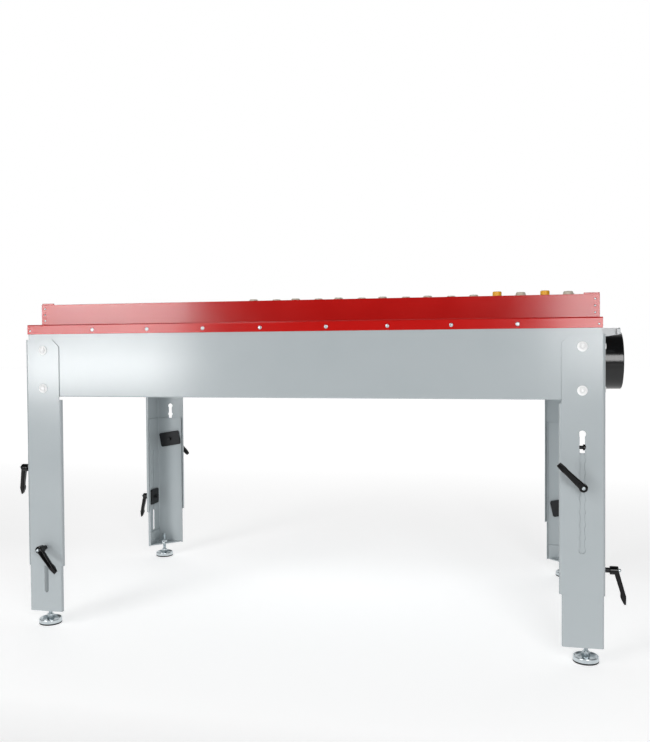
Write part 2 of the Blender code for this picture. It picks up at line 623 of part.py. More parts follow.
def make_rim(table, red):
    shelf_y = UPSTAND_Y - RIM_SHEET - SHELF_DEPTH
    upstand_inside = UPSTAND_Y - RIM_SHEET
    for name, sign in (("rim_front", -1), ("rim_back", 1)):
        def span(near, far):
            return sorted((sign * near, sign * far))
        skirt = span(RIM_Y, RIM_Y - RIM_SHEET)
        ledge = span(RIM_Y, upstand_inside)
        shelf = span(UPSTAND_Y, shelf_y)
        upstand = span(UPSTAND_Y, upstand_inside)
        mesh = joined_boxes(name, [
            ((-RIM_X, ledge[0], LEDGE_UNDER), (RIM_X, ledge[1], LEDGE_TOP)),
            ((-RIM_X, skirt[0], SKIRT_BOTTOM), (RIM_X, skirt[1], LEDGE_TOP)),
            ((-RIM_X, upstand[0], LEDGE_UNDER), (RIM_X, upstand[1], UPSTAND_TOP)),
            ((-HALF_LENGTH, shelf[0], LEDGE_UNDER), (HALF_LENGTH, shelf[1], LEDGE_TOP))])
        place_node(name, mesh, red, table)
    plate_y = upstand_inside - FIT
    top = UPSTAND_TOP + TAB_RISE
    for name, sign in (("rim_left_end", -1), ("rim_right_end", 1)):
        def span(near, far):
            return sorted((sign * near, sign * far))
        face = span(RIM_X, RIM_X - RIM_SHEET)
        tab = span(RIM_X, RIM_X - CORNER_TAB)
        boxes = [((face[0], -plate_y, SKIRT_BOTTOM), (face[1], plate_y, top)),
                 ((face[0], -HALF_WIDTH, SKIRT_BOTTOM), (face[1], HALF_WIDTH, LEDGE_UNDER - FIT))]
        for low_y in (-plate_y, plate_y - RIM_SHEET):
            boxes.append(((tab[0], low_y, LEDGE_TOP + FIT), (tab[1], low_y + RIM_SHEET, top)))
        place_node(name, joined_boxes(name, boxes), red, table)


def stud_sites(grille_x, rows):
    """Places of the support studs: two zigzag rows at the front as seen, wider spaced rows behind."""
    front = STUD_FRONT_INSET - UPSTAND_Y
    last = int((grille_x - STUD_END_MARGIN - STUD_FIRST_X) / STUD_PITCH)
    first = -int((grille_x - STUD_END_MARGIN + STUD_FIRST_X) / STUD_PITCH)
    soft, firm = [], []
    for step in range(last - FRONT_ROW_STUDS + 1, last + 1):
        even = step % 2 == 0
        y = front - STUD_STAGGER if even else front + STUD_STAGGER
        (soft if even else firm).append((STUD_FIRST_X + step * STUD_PITCH, y))
    second = front + SECOND_ROW_STEP
    for step in range(last - SECOND_ROW_STUDS + 1, last + 1):
        y = second + SECOND_ROW_STAGGER if step % 2 == 0 else second - SECOND_ROW_STAGGER
        firm.append((SECOND_ROW_FIRST_X + step * SECOND_ROW_PITCH, y))
    for row in range(2, rows):
        for step in range(first + BACK_ROW_STEP // 2 * (row % 2), last + 1, BACK_ROW_STEP):
            firm.append((STUD_FIRST_X + step * STUD_PITCH, front + row * GRILLE_ROW_PITCH))
    return soft, firm


def make_grille(table, grey, yellow):
    grille_x = HALF_LENGTH - GRILLE_SIDE_GAP
    grille_y = UPSTAND_Y - RIM_SHEET - FIT - RIM_SHEET - GRILLE_SIDE_GAP
    under = GRILLE_TOP - GRILLE_SHEET
    rows = int((2 * grille_y - STUD_FRONT_INSET) / GRILLE_ROW_PITCH)
    columns = int(2 * grille_x / GRILLE_SLOT_PITCH)
    plate = box_mesh("grille_plate", (-grille_x, -grille_y, under), (grille_x, grille_y, GRILLE_TOP))

    def slots(bm):
        half_x, half_y = GRILLE_SLOT_LENGTH / 2, GRILLE_SLOT_WIDTH / 2
        low, high = under - GRILLE_SHEET, GRILLE_TOP + GRILLE_SHEET
        for row in range(rows):
            y = STUD_FRONT_INSET - UPSTAND_Y + (row + 0.5) * GRILLE_ROW_PITCH
            for column in range(columns):
                x = (column - (columns - 1) / 2) * GRILLE_SLOT_PITCH
                add_box(bm, (x - half_x, y - half_y, low), (x + half_x, y + half_y, high))

    soft, firm = stud_sites(grille_x, rows)
    stud = [(STUD_FOOT_RADIUS, under + GRILLE_SHEET / 2), (STUD_TOP_RADIUS, GRILLE_TOP + STUD_HEIGHT)]

    def studs(bm):
        for x, y in firm:
            add_turned(bm, stud, STUD_SIDES, Matrix.Translation((x, y, 0)))

    opened = combined(plate, [mesh_from("grille_slots", slots)], "DIFFERENCE", "grille_opened")
    place_node("grille", combined(opened, [mesh_from("grille_studs", studs)], "UNION", "grille"), grey, table)

    top = GRILLE_TOP + FIT
    pad = [(SOFT_STUD_RADIUS, top), (SOFT_STUD_RADIUS, top + STUD_HEIGHT - SOFT_STUD_EDGE),
           (SOFT_STUD_RADIUS - SOFT_STUD_EDGE, top + STUD_HEIGHT)]
    pad_mesh = mesh_from("soft_stud", lambda bm: add_turned(bm, pad, ROUND_SIDES))
    for index, (x, y) in enumerate(soft, start=1):
        place_node(f"soft_stud_{index}", pad_mesh, yellow, table, (x, y, 0), smooth=True)

    # The plate lies on two channels that stand on the shelves behind the front and back upstands.
    half, foot, rail_top = RAIL_WIDTH / 2, LEDGE_TOP + FIT, under - FIT
    path = [(half, foot), (half, rail_top), (-half, rail_top), (-half, foot)]
    channel = folded_outline(path, RAIL_SHEET, [RAIL_BEND] * 2)
    along_y = Matrix.Rotation(math.pi / 2, 4, "X")
    rail = mesh_from("grille_rail", lambda bm: add_prism(bm, channel, -grille_y, grille_y, along_y))
    for name, sign in (("grille_rail_left", -1), ("grille_rail_right", 1)):
        place_node(name, rail, grey, table, (sign * RAIL_SPACING / 2, 0, 0))


def make_end_fittings(table, black, grey):
    bore = SPIGOT_RADIUS - SPIGOT_WALL
    flange_face = -(TROUGH_SHEET + FIT)
    back = flange_face - SPIGOT_LIP
    profile = [(bore, back), (SPIGOT_LIP_RADIUS, back), (SPIGOT_LIP_RADIUS, flange_face),
               (SPIGOT_RADIUS, flange_face), (SPIGOT_RADIUS, SPIGOT_LENGTH - SPIGOT_EDGE),
               (SPIGOT_RADIUS - SPIGOT_EDGE / 2, SPIGOT_LENGTH), (bore, SPIGOT_LENGTH), (bore, back)]
    mesh = mesh_from("exhaust_spigot", lambda bm: add_turned(bm, profile, SPIGOT_SIDES))
    along_x = Matrix.Rotation(math.pi / 2, 4, "Y")
    place_node("exhaust_spigot", mesh, black, table, (HALF_LENGTH, 0, SPIGOT_HEIGHT), along_x, smooth=True)

    # Arm in a plane across the table end, with a lip along its lower edge, a tab at its tip and a foot.
    start = HALF_LENGTH + FIT
    arm_start = RIM_X + FIT
    reach = arm_start + BRACKET_REACH
    top = SKIRT_BOTTOM + BRACKET_ABOVE_SKIRT
    foot_top = SKIRT_BOTTOM - BRACKET_BELOW_SKIRT
    foot_low = foot_top - BRACKET_FOOT_HEIGHT
    low, tip_low = top - BRACKET_HEIGHT, top - BRACKET_TIP_HEIGHT
    arm = [(arm_start, low), (reach, tip_low), (reach, top), (arm_start, top)]
    stand_up = Matrix.Translation((0, BRACKET_Y, 0)) @ Matrix.Rotation(math.pi / 2, 4, "X")
    arm_mesh = mesh_from("bracket_arm", lambda bm: add_prism(bm, arm, -BRACKET_SHEET, 0, stand_up))
    lip = [(arm_start, low), (reach, tip_low),
           (reach, tip_low + BRACKET_SHEET), (arm_start, low + BRACKET_SHEET)]
    lip_mesh = mesh_from("bracket_lip", lambda bm: add_prism(bm, lip, -BRACKET_LIP, 0, stand_up))
    tab = box_mesh("bracket_tab", (reach - BRACKET_SHEET, BRACKET_Y - BRACKET_LIP, tip_low),
                   (reach, BRACKET_Y + BRACKET_SHEET / 2, top))
    tab_front = BRACKET_Y - BRACKET_LIP
    face = box_mesh("bracket_face", (reach - BRACKET_TAB_WIDTH, tab_front - BRACKET_SHEET / 2, tip_low),
                    (reach, tab_front + BRACKET_SHEET / 2, top - BRACKET_SHEET))
    foot = box_mesh("bracket_foot", (start, BRACKET_Y, foot_low),
                    (start + BRACKET_SHEET, BRACKET_Y + BRACKET_FOOT_WIDTH, foot_top))
    neck = box_mesh("bracket_neck", (start, BRACKET_Y, low),
                    (arm_start + BRACKET_SHEET, BRACKET_Y + BRACKET_SHEET, foot_top))
    bracket = combined(arm_mesh, [lip_mesh, tab, face, neck, foot], "UNION", "end_bracket")
    place_node("end_bracket", bracket, grey, table)


def make_legs(table, finishes):
    grey, black, zinc = finishes
    meshes = {"outer": outer_leg_mesh(), "inner": inner_leg_mesh(), "side_bolts": leg_bolts_mesh(FIT),
              "end_bolts": leg_bolts_mesh(LEG_END_GAP), "lever": lever_mesh(),
              "notch_plate": nut_plate_mesh(*NOTCH_PLATE_SIZE), "slot_plate": nut_plate_mesh(*SLOT_PLATE_SIZE),
              "pad": foot_pad_mesh(), "spindle": foot_spindle_mesh(), "nut": lock_nut_mesh()}
    foot_place = (-FOOT_INSET, FOOT_INSET, 0)
    for corner in CORNERS:
        sign_x, sign_y = CORNER_SIGN[corner]
        turn = Matrix.Rotation(math.radians(CORNER_TURN[corner]), 4, "Z")
        leg = anchor(f"leg_{corner}", table, (sign_x * LEG_X, sign_y * LEG_Y, 0), turn)
        place_node(f"outer_leg_{corner}", meshes["outer"], grey, leg)
        place_node(f"inner_leg_{corner}", meshes["inner"], grey, leg)
        # A leg's notched face lies on the end of the trough at two of the corners, its other face at the rest.
        end_side = "a" if sign_x == sign_y else "b"
        for side, face in (("a", face_a(0)), ("b", face_b(0))):
            bolts = meshes["end_bolts" if side == end_side else "side_bolts"]
            place_node(f"leg_bolts_{corner}_{side}", bolts, zinc, leg, turn=face)
        for kind, face, angle, tilt in (
                ("notch", face_a(NOTCH_LEVER_HEIGHT), NOTCH_LEVER_ANGLE[corner], NOTCH_PLATE_TILT),
                ("slot", face_b(SLOT_LEVER_HEIGHT), SLOT_LEVER_ANGLE[corner], SLOT_PLATE_TILT.get(corner, 0))):
            lever = f"{kind}_lever_{corner}"
            stand_off = Matrix.Translation((0, 0, LEVER_SLACK.get(lever, 0)))
            swing = face @ stand_off @ Matrix.Rotation(math.radians(angle), 4, "Z")
            place_node(lever, meshes["lever"], black, leg, turn=swing, smooth=True)
            lean = Matrix.Rotation(tilt, 4, "Z")
            place_node(f"{kind}_nut_plate_{corner}", meshes[f"{kind}_plate"], black, leg, turn=face @ lean)
        place_node(f"foot_pad_{corner}", meshes["pad"], zinc, leg, foot_place, smooth=True)
        place_node(f"foot_spindle_{corner}", meshes["spindle"], zinc, leg, foot_place, smooth=True)
        place_node(f"lock_nut_{corner}", meshes["nut"], zinc, leg, foot_place)
    return max(vert.co.z for vert in meshes["lever"].vertices) + LEVER_SLACK["notch_lever_front_left"]


def main():
    clear_scene()
    grey = material("grey_powder_coat", (0.41, 0.44, 0.45), 0.42, 0.0)
    red = material("red_powder_coat", (0.45, 0.012, 0.010), 0.38, 0.0)
    black = material("black_plastic", (0.012, 0.012, 0.013), 0.45, 0.0)
    zinc = material("zinc_plate", (0.62, 0.65, 0.68), 0.30, 1.0)
    yellow = material("yellow_soft_stud", (0.80, 0.38, 0.015), 0.55, 0.0)
    table = anchor("table", None)
    lever_reach = make_legs(table, (grey, black, zinc))
    make_trough(table, grey)
    make_rim(table, red)
    make_grille(table, grey, yellow)
    make_end_fittings(table, black, grey)
    # The spigot reaches further out than the levers on the left end, so the table is moved to centre the box.
    right_reach = HALF_LENGTH + SPIGOT_LENGTH
    left_reach = LEG_X + lever_reach
    table.location.x = (left_reach - right_reach) / 2
    bpy.context.view_layer.update()


main()
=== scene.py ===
"""Looks of the downdraft sanding table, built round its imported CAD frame.

Metres, +Z up, in the frame's own place. The pieces of a leg are modelled once, on the front right leg with
its outer corner on the Z axis, and copied to the four corners.
"""
import json
import math

import bpy
from mathutils import Matrix, Vector

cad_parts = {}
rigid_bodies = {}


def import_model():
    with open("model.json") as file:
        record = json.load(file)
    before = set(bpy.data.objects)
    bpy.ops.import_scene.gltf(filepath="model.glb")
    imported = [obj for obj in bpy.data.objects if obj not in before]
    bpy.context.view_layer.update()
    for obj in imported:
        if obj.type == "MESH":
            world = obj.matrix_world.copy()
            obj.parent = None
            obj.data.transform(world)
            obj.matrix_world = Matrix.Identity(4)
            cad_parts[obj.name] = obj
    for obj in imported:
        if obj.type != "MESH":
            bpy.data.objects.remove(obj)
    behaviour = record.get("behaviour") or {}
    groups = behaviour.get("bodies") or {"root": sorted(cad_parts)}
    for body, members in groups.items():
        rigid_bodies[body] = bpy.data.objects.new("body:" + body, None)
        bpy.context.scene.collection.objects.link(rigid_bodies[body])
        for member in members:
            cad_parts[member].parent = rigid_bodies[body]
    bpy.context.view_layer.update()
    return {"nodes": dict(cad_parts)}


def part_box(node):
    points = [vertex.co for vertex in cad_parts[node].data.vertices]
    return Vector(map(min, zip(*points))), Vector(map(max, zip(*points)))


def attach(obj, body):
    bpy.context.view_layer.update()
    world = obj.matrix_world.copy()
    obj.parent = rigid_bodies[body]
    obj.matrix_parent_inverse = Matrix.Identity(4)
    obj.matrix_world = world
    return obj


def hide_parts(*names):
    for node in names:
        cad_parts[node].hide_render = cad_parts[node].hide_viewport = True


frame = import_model()

# Gaps and the fineness of rounded shapes
FIT = 0.0003                  # between faces that touch
MERGE = 1e-6
EASE = 0.0003                 # broken edge of cut sheet
BEND_STEPS = 4
ROUND_SIDES = 48
SMOOTH_ANGLE = math.radians(32)
FLAT_AREA = 2e-5              # faces of flat sheet are larger than this
FLAT_ANGLE = math.radians(1)  # CAD triangles that lie flatter than this become one face
ALONG = 0.99                  # an edge runs along a line if the cosine between them is above this

# Trough of folded sheet
TABLE_LENGTH = 1.398
TABLE_WIDTH = 0.800
TROUGH_BOTTOM = 0.592
TROUGH_TOP = 0.773
TROUGH_SHEET = 0.002
TROUGH_BEND = 0.003
TROUGH_FLANGE = 0.020         # folded in under the floor

# Red rim
RIM_SHEET = 0.0015
RIM_BEND = 0.0028
SKIRT_HEIGHT = 0.024
LEDGE_DEPTH = 0.068
UPSTAND_HEIGHT = 0.0545
SHELF_DEPTH = 0.022
CORNER_TAB = 0.035
TAB_RISE = 0.0035
SKIRT_SCREW = (0.0046, 0.0026)   # radius and height
SKIRT_SCREW_RISE = 0.010      # above the lower edge of the skirt
LONG_SIDE_SCREWS = (0.081, 0.226, 0.372, 0.519)   # to both sides of the middle
SHORT_SIDE_SCREWS = (0.105, 0.245)
RIVET_PROFILE = ((0, 0), (0.0026, 0), (0.0024, 0.0006), (0.0018, 0.0011), (0.0009, 0.0013), (0, 0.0013))
RIVET_END_MARGIN = 0.0080
SKIRT_RIVET_RISE = 0.0085
CORNER_RIVETS = 3
CORNER_RIVET_SHARE = 0.997    # of the skirt rivet's distance from the middle
CORNER_RIVET_RISE = 0.0125    # of the lowest one above the ledge
CORNER_RIVET_PITCH = 0.0155

# Grille and support studs
GRILLE_SHEET = 0.002
GRILLE_DROP = 0.020
GRILLE_SIDE_GAP = 0.0005
GRILLE_SLOT_LENGTH = 0.186
GRILLE_SLOT_WIDTH = 0.014
GRILLE_SLOT_PITCH = 0.230
GRILLE_ROW_PITCH = 0.100
STUD_FIRST_X = 0.0367
STUD_FRONT_INSET = 0.0468
STUD_END_MARGIN = 0.034
STUD_PITCH = 0.0545
STUD_STAGGER = 0.018
STUD_FOOT_RADIUS = 0.019
STUD_TOP_RADIUS = 0.0104
STUD_HEIGHT = 0.0315
STUD_FLANGE = 0.0035
STUD_SOCKET = (0.0046, 0.004)    # radius and depth
SOFT_STUD_RADIUS = 0.0105
SOFT_STUD_SOCKET = (0.0033, 0.005)
FRONT_ROW_STUDS = 4
SECOND_ROW_STUDS = 15
SECOND_ROW_FIRST_X = 0.0140
SECOND_ROW_STEP = 0.090
SECOND_ROW_PITCH = 0.0572
SECOND_ROW_STAGGER = 0.010
BACK_ROW_STEP = 4

# Exhaust spigot
SPIGOT_RADIUS = 0.0757
SPIGOT_WALL = 0.003
SPIGOT_LENGTH = 0.0874
SPIGOT_HEIGHT = 0.6745
SPIGOT_LIP_RADIUS = 0.0777
SPIGOT_LIP = (-0.0053, -0.0023)   # back and front, from the outside of the trough
SPIGOT_SIDES = 96
DUCT_CUT = 0.01               # reach of the cutter to both sides of the wall

# Legs
LEG_SHEET = 0.002
LEG_WIDTH = 0.0980
LEG_LIP = 0.009
LEG_BEND = 0.006
LIP_BEND = 0.005
LEG_END_GAP = 0.0055          # spacers between a leg and the end of the trough
LEG_CENTRE = 0.0490
LEG_CHAMFER = 0.018
OUTER_LEG_BOTTOM = 0.1593
OUTER_LEG_TOP = 0.737
LIP_TOP = 0.584
INNER_LEG_INSET = LEG_SHEET + FIT
INNER_LEG_WIDTH = 0.0900
INNER_LEG_BEND = 0.004
INNER_LEG_BOTTOM = 0.0415
INNER_LEG_TOP = 0.475
FOOT_PLATE = 0.004
FOOT_PLATE_WIDTH = 0.080
FOOT_PLATE_TIP = 0.008
FOOT_FLANGE_HEIGHT = 0.045
FOOT_FLANGE_SHEET = 0.003
NOTCH_LEVER_HEIGHT = 0.4025
SLOT_LEVER_HEIGHT = 0.2065
NOTCH_PITCH = 0.0286
NOTCHES_ABOVE = 4
NOTCHES_BELOW = 5
NOTCH_RADIUS = 0.0078
NOTCH_SLOT_WIDTH = 0.0108
STRAIGHT_SLOT_WIDTH = 0.011
STRAIGHT_SLOT_BOTTOM = 0.090
STRAIGHT_SLOT_TOP = 0.366
LEG_BOLT_HEIGHTS = (0.710, 0.613)
BOLT_STRIP_WIDTH = 0.028
BOLT_STRIP_END = 0.012
BOLT_STRIP_THICKNESS = 0.004
BOLT_STRIP_CORNER = 0.003
BOLT_HEX = 0.013
BOLT_HEIGHT = 0.0055
BOLT_CROWN = (                # radius and height: a chamfer round the top and a shallow dish
    (0, FIT), (0.0085, FIT), (0.0085, BOLT_HEIGHT - 0.0012), (0.0060, BOLT_HEIGHT + FIT),
    (0.0052, BOLT_HEIGHT + FIT), (0.0046, BOLT_HEIGHT - 0.0005), (0, BOLT_HEIGHT - 0.0005))
BOLT_FLANGE = (
    (0, FIT), (0.0112, FIT), (0.0112, FIT + 0.0011), (0.0107, FIT + 0.0016), (0.0074, FIT + 0.0026),
    (0, FIT + 0.0026))
BOLT_EASE = 0.00015
SPACER_RADIUS = 0.009
SPACER_BORE = 0.0045

# Clamp levers: Z out of the leg's face, the arm along Y
LEVER_STUD_RADIUS = 0.0049
LEVER_STUD_PROUD = 0.010
LEVER_STUD_CHAMFER = 0.0008
COLLAR_RADIUS = 0.0057
COLLAR_HEIGHT = 0.0140
HUB_RADIUS = 0.0096
HUB_TOP = 0.0326
HUB_CHAMFER = 0.0016
LEVER_SCREW = (0.0042, 0.0065)   # radius and height
LEVER_ROOT_BACK = 0.0031      # the arm starts this far behind the hub's axis
LEVER_EDGE = 0.28             # rounding of the arm's edges, as a share of its thickness
LEVER_GROOVE = (0.0046, 0.0135, 0.0505)   # width, and both ends along the arm
LEVER_GROOVE_DEPTH = 0.002
LEVER_ARM = (                 # distance along the arm, outer face, width, thickness
    (0.0010, 0.0335, 0.0155, 0.0115), (0.0140, 0.0371, 0.0150, 0.0112), (0.0300, 0.0415, 0.0138, 0.0108),
    (0.0430, 0.0451, 0.0128, 0.0105), (0.0518, 0.0475, 0.0125, 0.0105), (0.0563, 0.0491, 0.0135, 0.0125),
    (0.0605, 0.0492, 0.0136, 0.0121), (0.0650, 0.0492, 0.0132, 0.0103), (0.0705, 0.0491, 0.0122, 0.0074),
    (0.0755, 0.0490, 0.0105, 0.0045))
NOTCH_PLATE_SIZE = (0.072, 0.048)
SLOT_PLATE_SIZE = (0.058, 0.051)
NUT_PLATE_THICKNESS = 0.006
NUT_PLATE_CORNER = 0.004
NUT_PLATE_FACE = INNER_LEG_INSET + LEG_SHEET + FIT
NOTCH_PLATE_TILT = math.radians(-10)
SLOT_PLATE_TILT = {"back_right": math.radians(-12)}

# Levelling feet
FOOT_INSET = 0.0380
SPINDLE_RADIUS = 0.005
SPINDLE_HEX = 0.016
SPINDLE_LOW = 0.0083
SPINDLE_HEX_HEIGHT = 0.016
SPINDLE_TOP = 0.076
THREAD_PITCH = 0.0015
THREAD_DEPTH = 0.0008
THREAD_END = 0.001            # plain tip above the last ring
ROD_SUNK = 0.004              # reach of the rod into its hexagon
LOCK_NUT_HEX = 0.017
LOCK_NUT_HEIGHT = 0.008
HEX_CHAMFER = 0.0012
SPINDLE_FLAT = 0.48           # radius of the flat ends, as a share of the width across flats
LOCK_NUT_FLAT = 0.475
FOOT_SIDES = 64
FOOT_PAD_PROFILE = (          # radius and height, from the underside round the raised rim to the dish
    (0, 0.0034), (0.0278, 0.0034), (0.0285, 0.0039), (0.0287, 0.0050), (0.0287, 0.0115), (0.0284, 0.0130),
    (0.0277, 0.0138), (0.0269, 0.0140), (0.0261, 0.0137), (0.0255, 0.0129), (0.0245, 0.0106),
    (0.0229, 0.0090), (0.0209, 0.0082), (0.0182, 0.0080), (0, 0.0080))
FOOT_SOLE_PROFILE = (
    (0, 0), (0.0276, 0), (0.0285, 0.0008), (0.0287, 0.0020), (0.0285, 0.0033), (0, 0.0033))

CORNER_TURN = {"front_right": 0, "front_left": -90, "back_left": 180, "back_right": 90}
NOTCH_LEVER_ANGLE = {"front_right": 45, "front_left": 163, "back_left": 143, "back_right": 270}
SLOT_LEVER_ANGLE = {"front_right": 180, "front_left": 228, "back_left": 169, "back_right": 180}
LEVER_SLACK = {"notch_lever_front_left": 0.012}   # a lever that is screwed out by this much

# Camera, fitted to the photograph
CAMERA_PLACE = (0.504, -2.2984, 0.7017)   # from the middle of the table's length
CAMERA_ANGLES = (12.663, -1.329, 0.365)   # degrees to the left, up and round the line of sight
CAMERA_LENS = 40.13           # millimetres, as SENSOR_WIDTH
SENSOR_WIDTH = 36.0
FLOOR_SIZE = 60

# Heights and faces worked out from the sizes above
LEDGE_UNDER = TROUGH_TOP + FIT
LEDGE_TOP = LEDGE_UNDER + RIM_SHEET
SKIRT_BOTTOM = LEDGE_TOP - SKIRT_HEIGHT
UPSTAND_TOP = LEDGE_TOP + UPSTAND_HEIGHT
GRILLE_TOP = UPSTAND_TOP - GRILLE_DROP
HALF_LENGTH = TABLE_LENGTH / 2
HALF_WIDTH = TABLE_WIDTH / 2
RIM_X = HALF_LENGTH + FIT + RIM_SHEET
RIM_Y = HALF_WIDTH + FIT + RIM_SHEET
UPSTAND_Y = RIM_Y - LEDGE_DEPTH
FOOT_PLATE_TOP = INNER_LEG_BOTTOM + FOOT_PLATE
FOOT_PLACE = Matrix.Translation((-FOOT_INSET, FOOT_INSET, 0))
SPIGOT_PLACE = Matrix.Translation((HALF_LENGTH, 0, SPIGOT_HEIGHT)) @ Matrix.Rotation(math.pi / 2, 4, "Y")
trough_low, trough_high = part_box("trough_front")
MIDDLE = Matrix.Translation(((trough_low.x + trough_high.x) / 2, 0, 0))   # middle of the table's length


def done():
    bpy.ops.object.mode_set(mode="OBJECT")


def deselect():
    """Leave edit mode with no object selected."""
    if bpy.context.mode != "OBJECT":
        done()
    bpy.ops.object.select_all(action="DESELECT")


def only(piece):
    """Leave edit mode and make this piece the one selected object."""
    deselect()
    piece.select_set(True)
    bpy.context.view_layer.objects.active = piece


def edit(piece):
    """Enter edit mode with everything selected."""
    only(piece)
    bpy.ops.object.mode_set(mode="EDIT")
    bpy.ops.mesh.select_all(action="SELECT")


def discard(*pieces):
    for piece in pieces:
        bpy.data.objects.remove(piece, do_unlink=True)


def pick_edges(piece, wanted):
    """Enter edit mode with the edges whose middle and direction are wanted."""
    edit(piece)
    bpy.ops.mesh.select_mode(type="EDGE")
    bpy.ops.mesh.select_all(action="DESELECT")
    done()
    points = piece.data.vertices
    for edge in piece.data.edges:
        a, b = (points[index].co for index in edge.vertices)
        edge.select = wanted((a + b) / 2, (b - a).normalized())
    bpy.ops.object.mode_set(mode="EDIT")


def pick_faces(piece, wanted):
    """Enter edit mode with the faces whose middle, normal and area are wanted."""
    edit(piece)
    bpy.ops.mesh.select_mode(type="FACE")
    bpy.ops.mesh.select_all(action="DESELECT")
    done()
    for face in piece.data.polygons:
        face.select = wanted(face.center, face.normal, face.area)
    bpy.ops.object.mode_set(mode="EDIT")


def rounded(piece, wanted, offset, segments=BEND_STEPS):
    """Bevel the wanted edges."""
    pick_edges(piece, wanted)
    bpy.ops.mesh.bevel(offset=offset, segments=segments, affect="EDGES")
    done()


def mended(piece):
    """Merge doubles and turn the faces outwards."""
    edit(piece)
    bpy.ops.mesh.remove_doubles(threshold=MERGE)
    bpy.ops.mesh.normals_make_consistent(inside=False)
    done()
    return piece


def moved(piece, place):
    """Put a piece in place and leave its object at the origin."""
    only(piece)
    piece.matrix_world = place
    bpy.ops.object.transform_apply(location=True, rotation=True, scale=True)
    return piece


def applied(piece, kind, **settings):
    only(piece)
    modifier = piece.modifiers.new(kind.lower(), kind)
    for key, value in settings.items():
        setattr(modifier, key, value)
    bpy.ops.object.modifier_apply(modifier=modifier.name)
    return piece


def joined(piece, tools, operation):
    """Cut tools out of a piece, weld them to it or keep what is in both."""
    for tool in tools:
        applied(piece, "BOOLEAN", operation=operation, solver="EXACT", object=tool)
        discard(tool)
    return piece


def smoothed(piece, flat_area=math.inf):
    """Smooth the round faces, and keep square faces above an area flat."""
    only(piece)
    bpy.ops.object.shade_smooth_by_angle(angle=SMOOTH_ANGLE)
    pick_faces(piece, lambda middle, normal, area: area > flat_area and max(map(abs, normal)) > 1 - MERGE)
    bpy.ops.mesh.faces_shade_flat()
    done()
    return applied(piece, "WEIGHTED_NORMAL", mode="FACE_AREA", weight=100, keep_sharp=True)


def eased(piece, width=EASE, segments=2):
    """Break the sharp edges of a sheet and smooth its bends."""
    applied(piece, "BEVEL", width=width, segments=segments, limit_method="ANGLE", angle_limit=SMOOTH_ANGLE)
    return smoothed(piece, FLAT_AREA)


def named(name):
    piece = bpy.context.active_object
    piece.name = piece.data.name = name
    return piece


def gathered(pieces, name):
    """Make loose pieces one object."""
    only(pieces[0])
    for piece in pieces:
        piece.select_set(True)
    bpy.ops.object.join()
    return named(name)


def drawn(name, points):
    """Draw a line of edges by extruding one vertex from point to point."""
    deselect()
    bpy.ops.mesh.primitive_plane_add(size=MERGE, location=points[0])
    piece = named(name)
    bpy.ops.object.transform_apply(location=True)
    edit(piece)
    bpy.ops.mesh.select_mode(type="VERT")
    bpy.ops.mesh.merge(type="CENTER")
    for a, b in zip(points, points[1:]):
        step = Vector(b) - Vector(a)
        bpy.ops.mesh.extrude_vertices_move(TRANSFORM_OT_translate={"value": step})
    done()
    return piece


def prism(name, outline, low, high, place=Matrix()):
    """Fill an outline in X and Y and extrude it along Z."""
    piece = drawn(name, [(x, y, low) for x, y in outline])
    edit(piece)
    bpy.ops.mesh.edge_face_add()
    bpy.ops.mesh.extrude_region_move(TRANSFORM_OT_translate={"value": (0, 0, high - low)})
    done()
    return moved(mended(piece), place)


def turned(name, profile, sides=ROUND_SIDES, place=Matrix()):
    """Spin a profile of (radius, height) points once round Z."""
    piece = drawn(name, [(radius, 0, height) for radius, height in profile])
    edit(piece)
    bpy.ops.mesh.spin(steps=sides, angle=math.tau, center=(0, 0, 0), axis=(0, 0, 1))
    done()
    return moved(mended(piece), place)


def drill(radius, low, high, place=Matrix(), sides=ROUND_SIDES):
    """Round cutter along Z."""
    return turned("drill", [(0, low), (radius, low), (radius, high), (0, high)], sides, place)


def block(name, low, high):
    """Box between two corners, as the start of a piece or as a cutter."""
    deselect()
    low, high = Vector(low), Vector(high)
    bpy.ops.mesh.primitive_cube_add(size=1, location=(low + high) / 2, scale=high - low)
    piece = named(name)
    bpy.ops.object.transform_apply(location=True, rotation=True, scale=True)
    return piece


def folded(name, path, run, outside, *bends):
    """Outer face of a sheet folded along a path and pulled out along a run.

    The first face looks to the outside, and a fold whose bend is zero stays flat.
    """
    piece = drawn(name, path)
    edit(piece)
    bpy.ops.mesh.select_mode(type="EDGE")
    bpy.ops.mesh.extrude_edges_move(TRANSFORM_OT_translate={"value": run})
    done()
    mended(piece)
    start = (Vector(path[0]) + Vector(path[1]) + Vector(run)) / 2
    first = min(piece.data.polygons, key=lambda face: (face.center - start).length)
    if first.normal.dot(Vector(outside)) < 0:
        edit(piece)
        bpy.ops.mesh.flip_normals()
        done()
    along = Vector(run).normalized()
    for point, bend in zip(path[1:-1], bends):
        fold = Vector(point) + Vector(run) / 2
        if bend:
            rounded(piece, lambda middle, line: abs(line.dot(along)) > ALONG
                    and (middle - fold).length < MERGE, bend)
    return piece


def thickened(piece, sheet):
    return applied(piece, "SOLIDIFY", thickness=sheet, offset=-1.0, use_even_offset=True)


def copied(master, name, place):
    """Copy a modelled piece, with a mesh of its own, to its place."""
    only(master)
    bpy.ops.object.duplicate()
    return moved(named(name), place)


def dressed(piece, finish, body, slot, *nodes):
    """Give a piece its finish, the body it rides on and the CAD nodes that it stands for."""
    piece.data.materials.clear()
    piece.data.materials.append(finish)
    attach(piece, body)
    if nodes:
        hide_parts(*nodes)
    return piece


def arc(centre, radius, first, last, steps):
    """Points of an arc between two angles in degrees."""
    angles = [math.radians(first + (last - first) * step / steps) for step in range(steps + 1)]
    return [(centre[0] + radius * math.cos(a), centre[1] + radius * math.sin(a)) for a in angles]


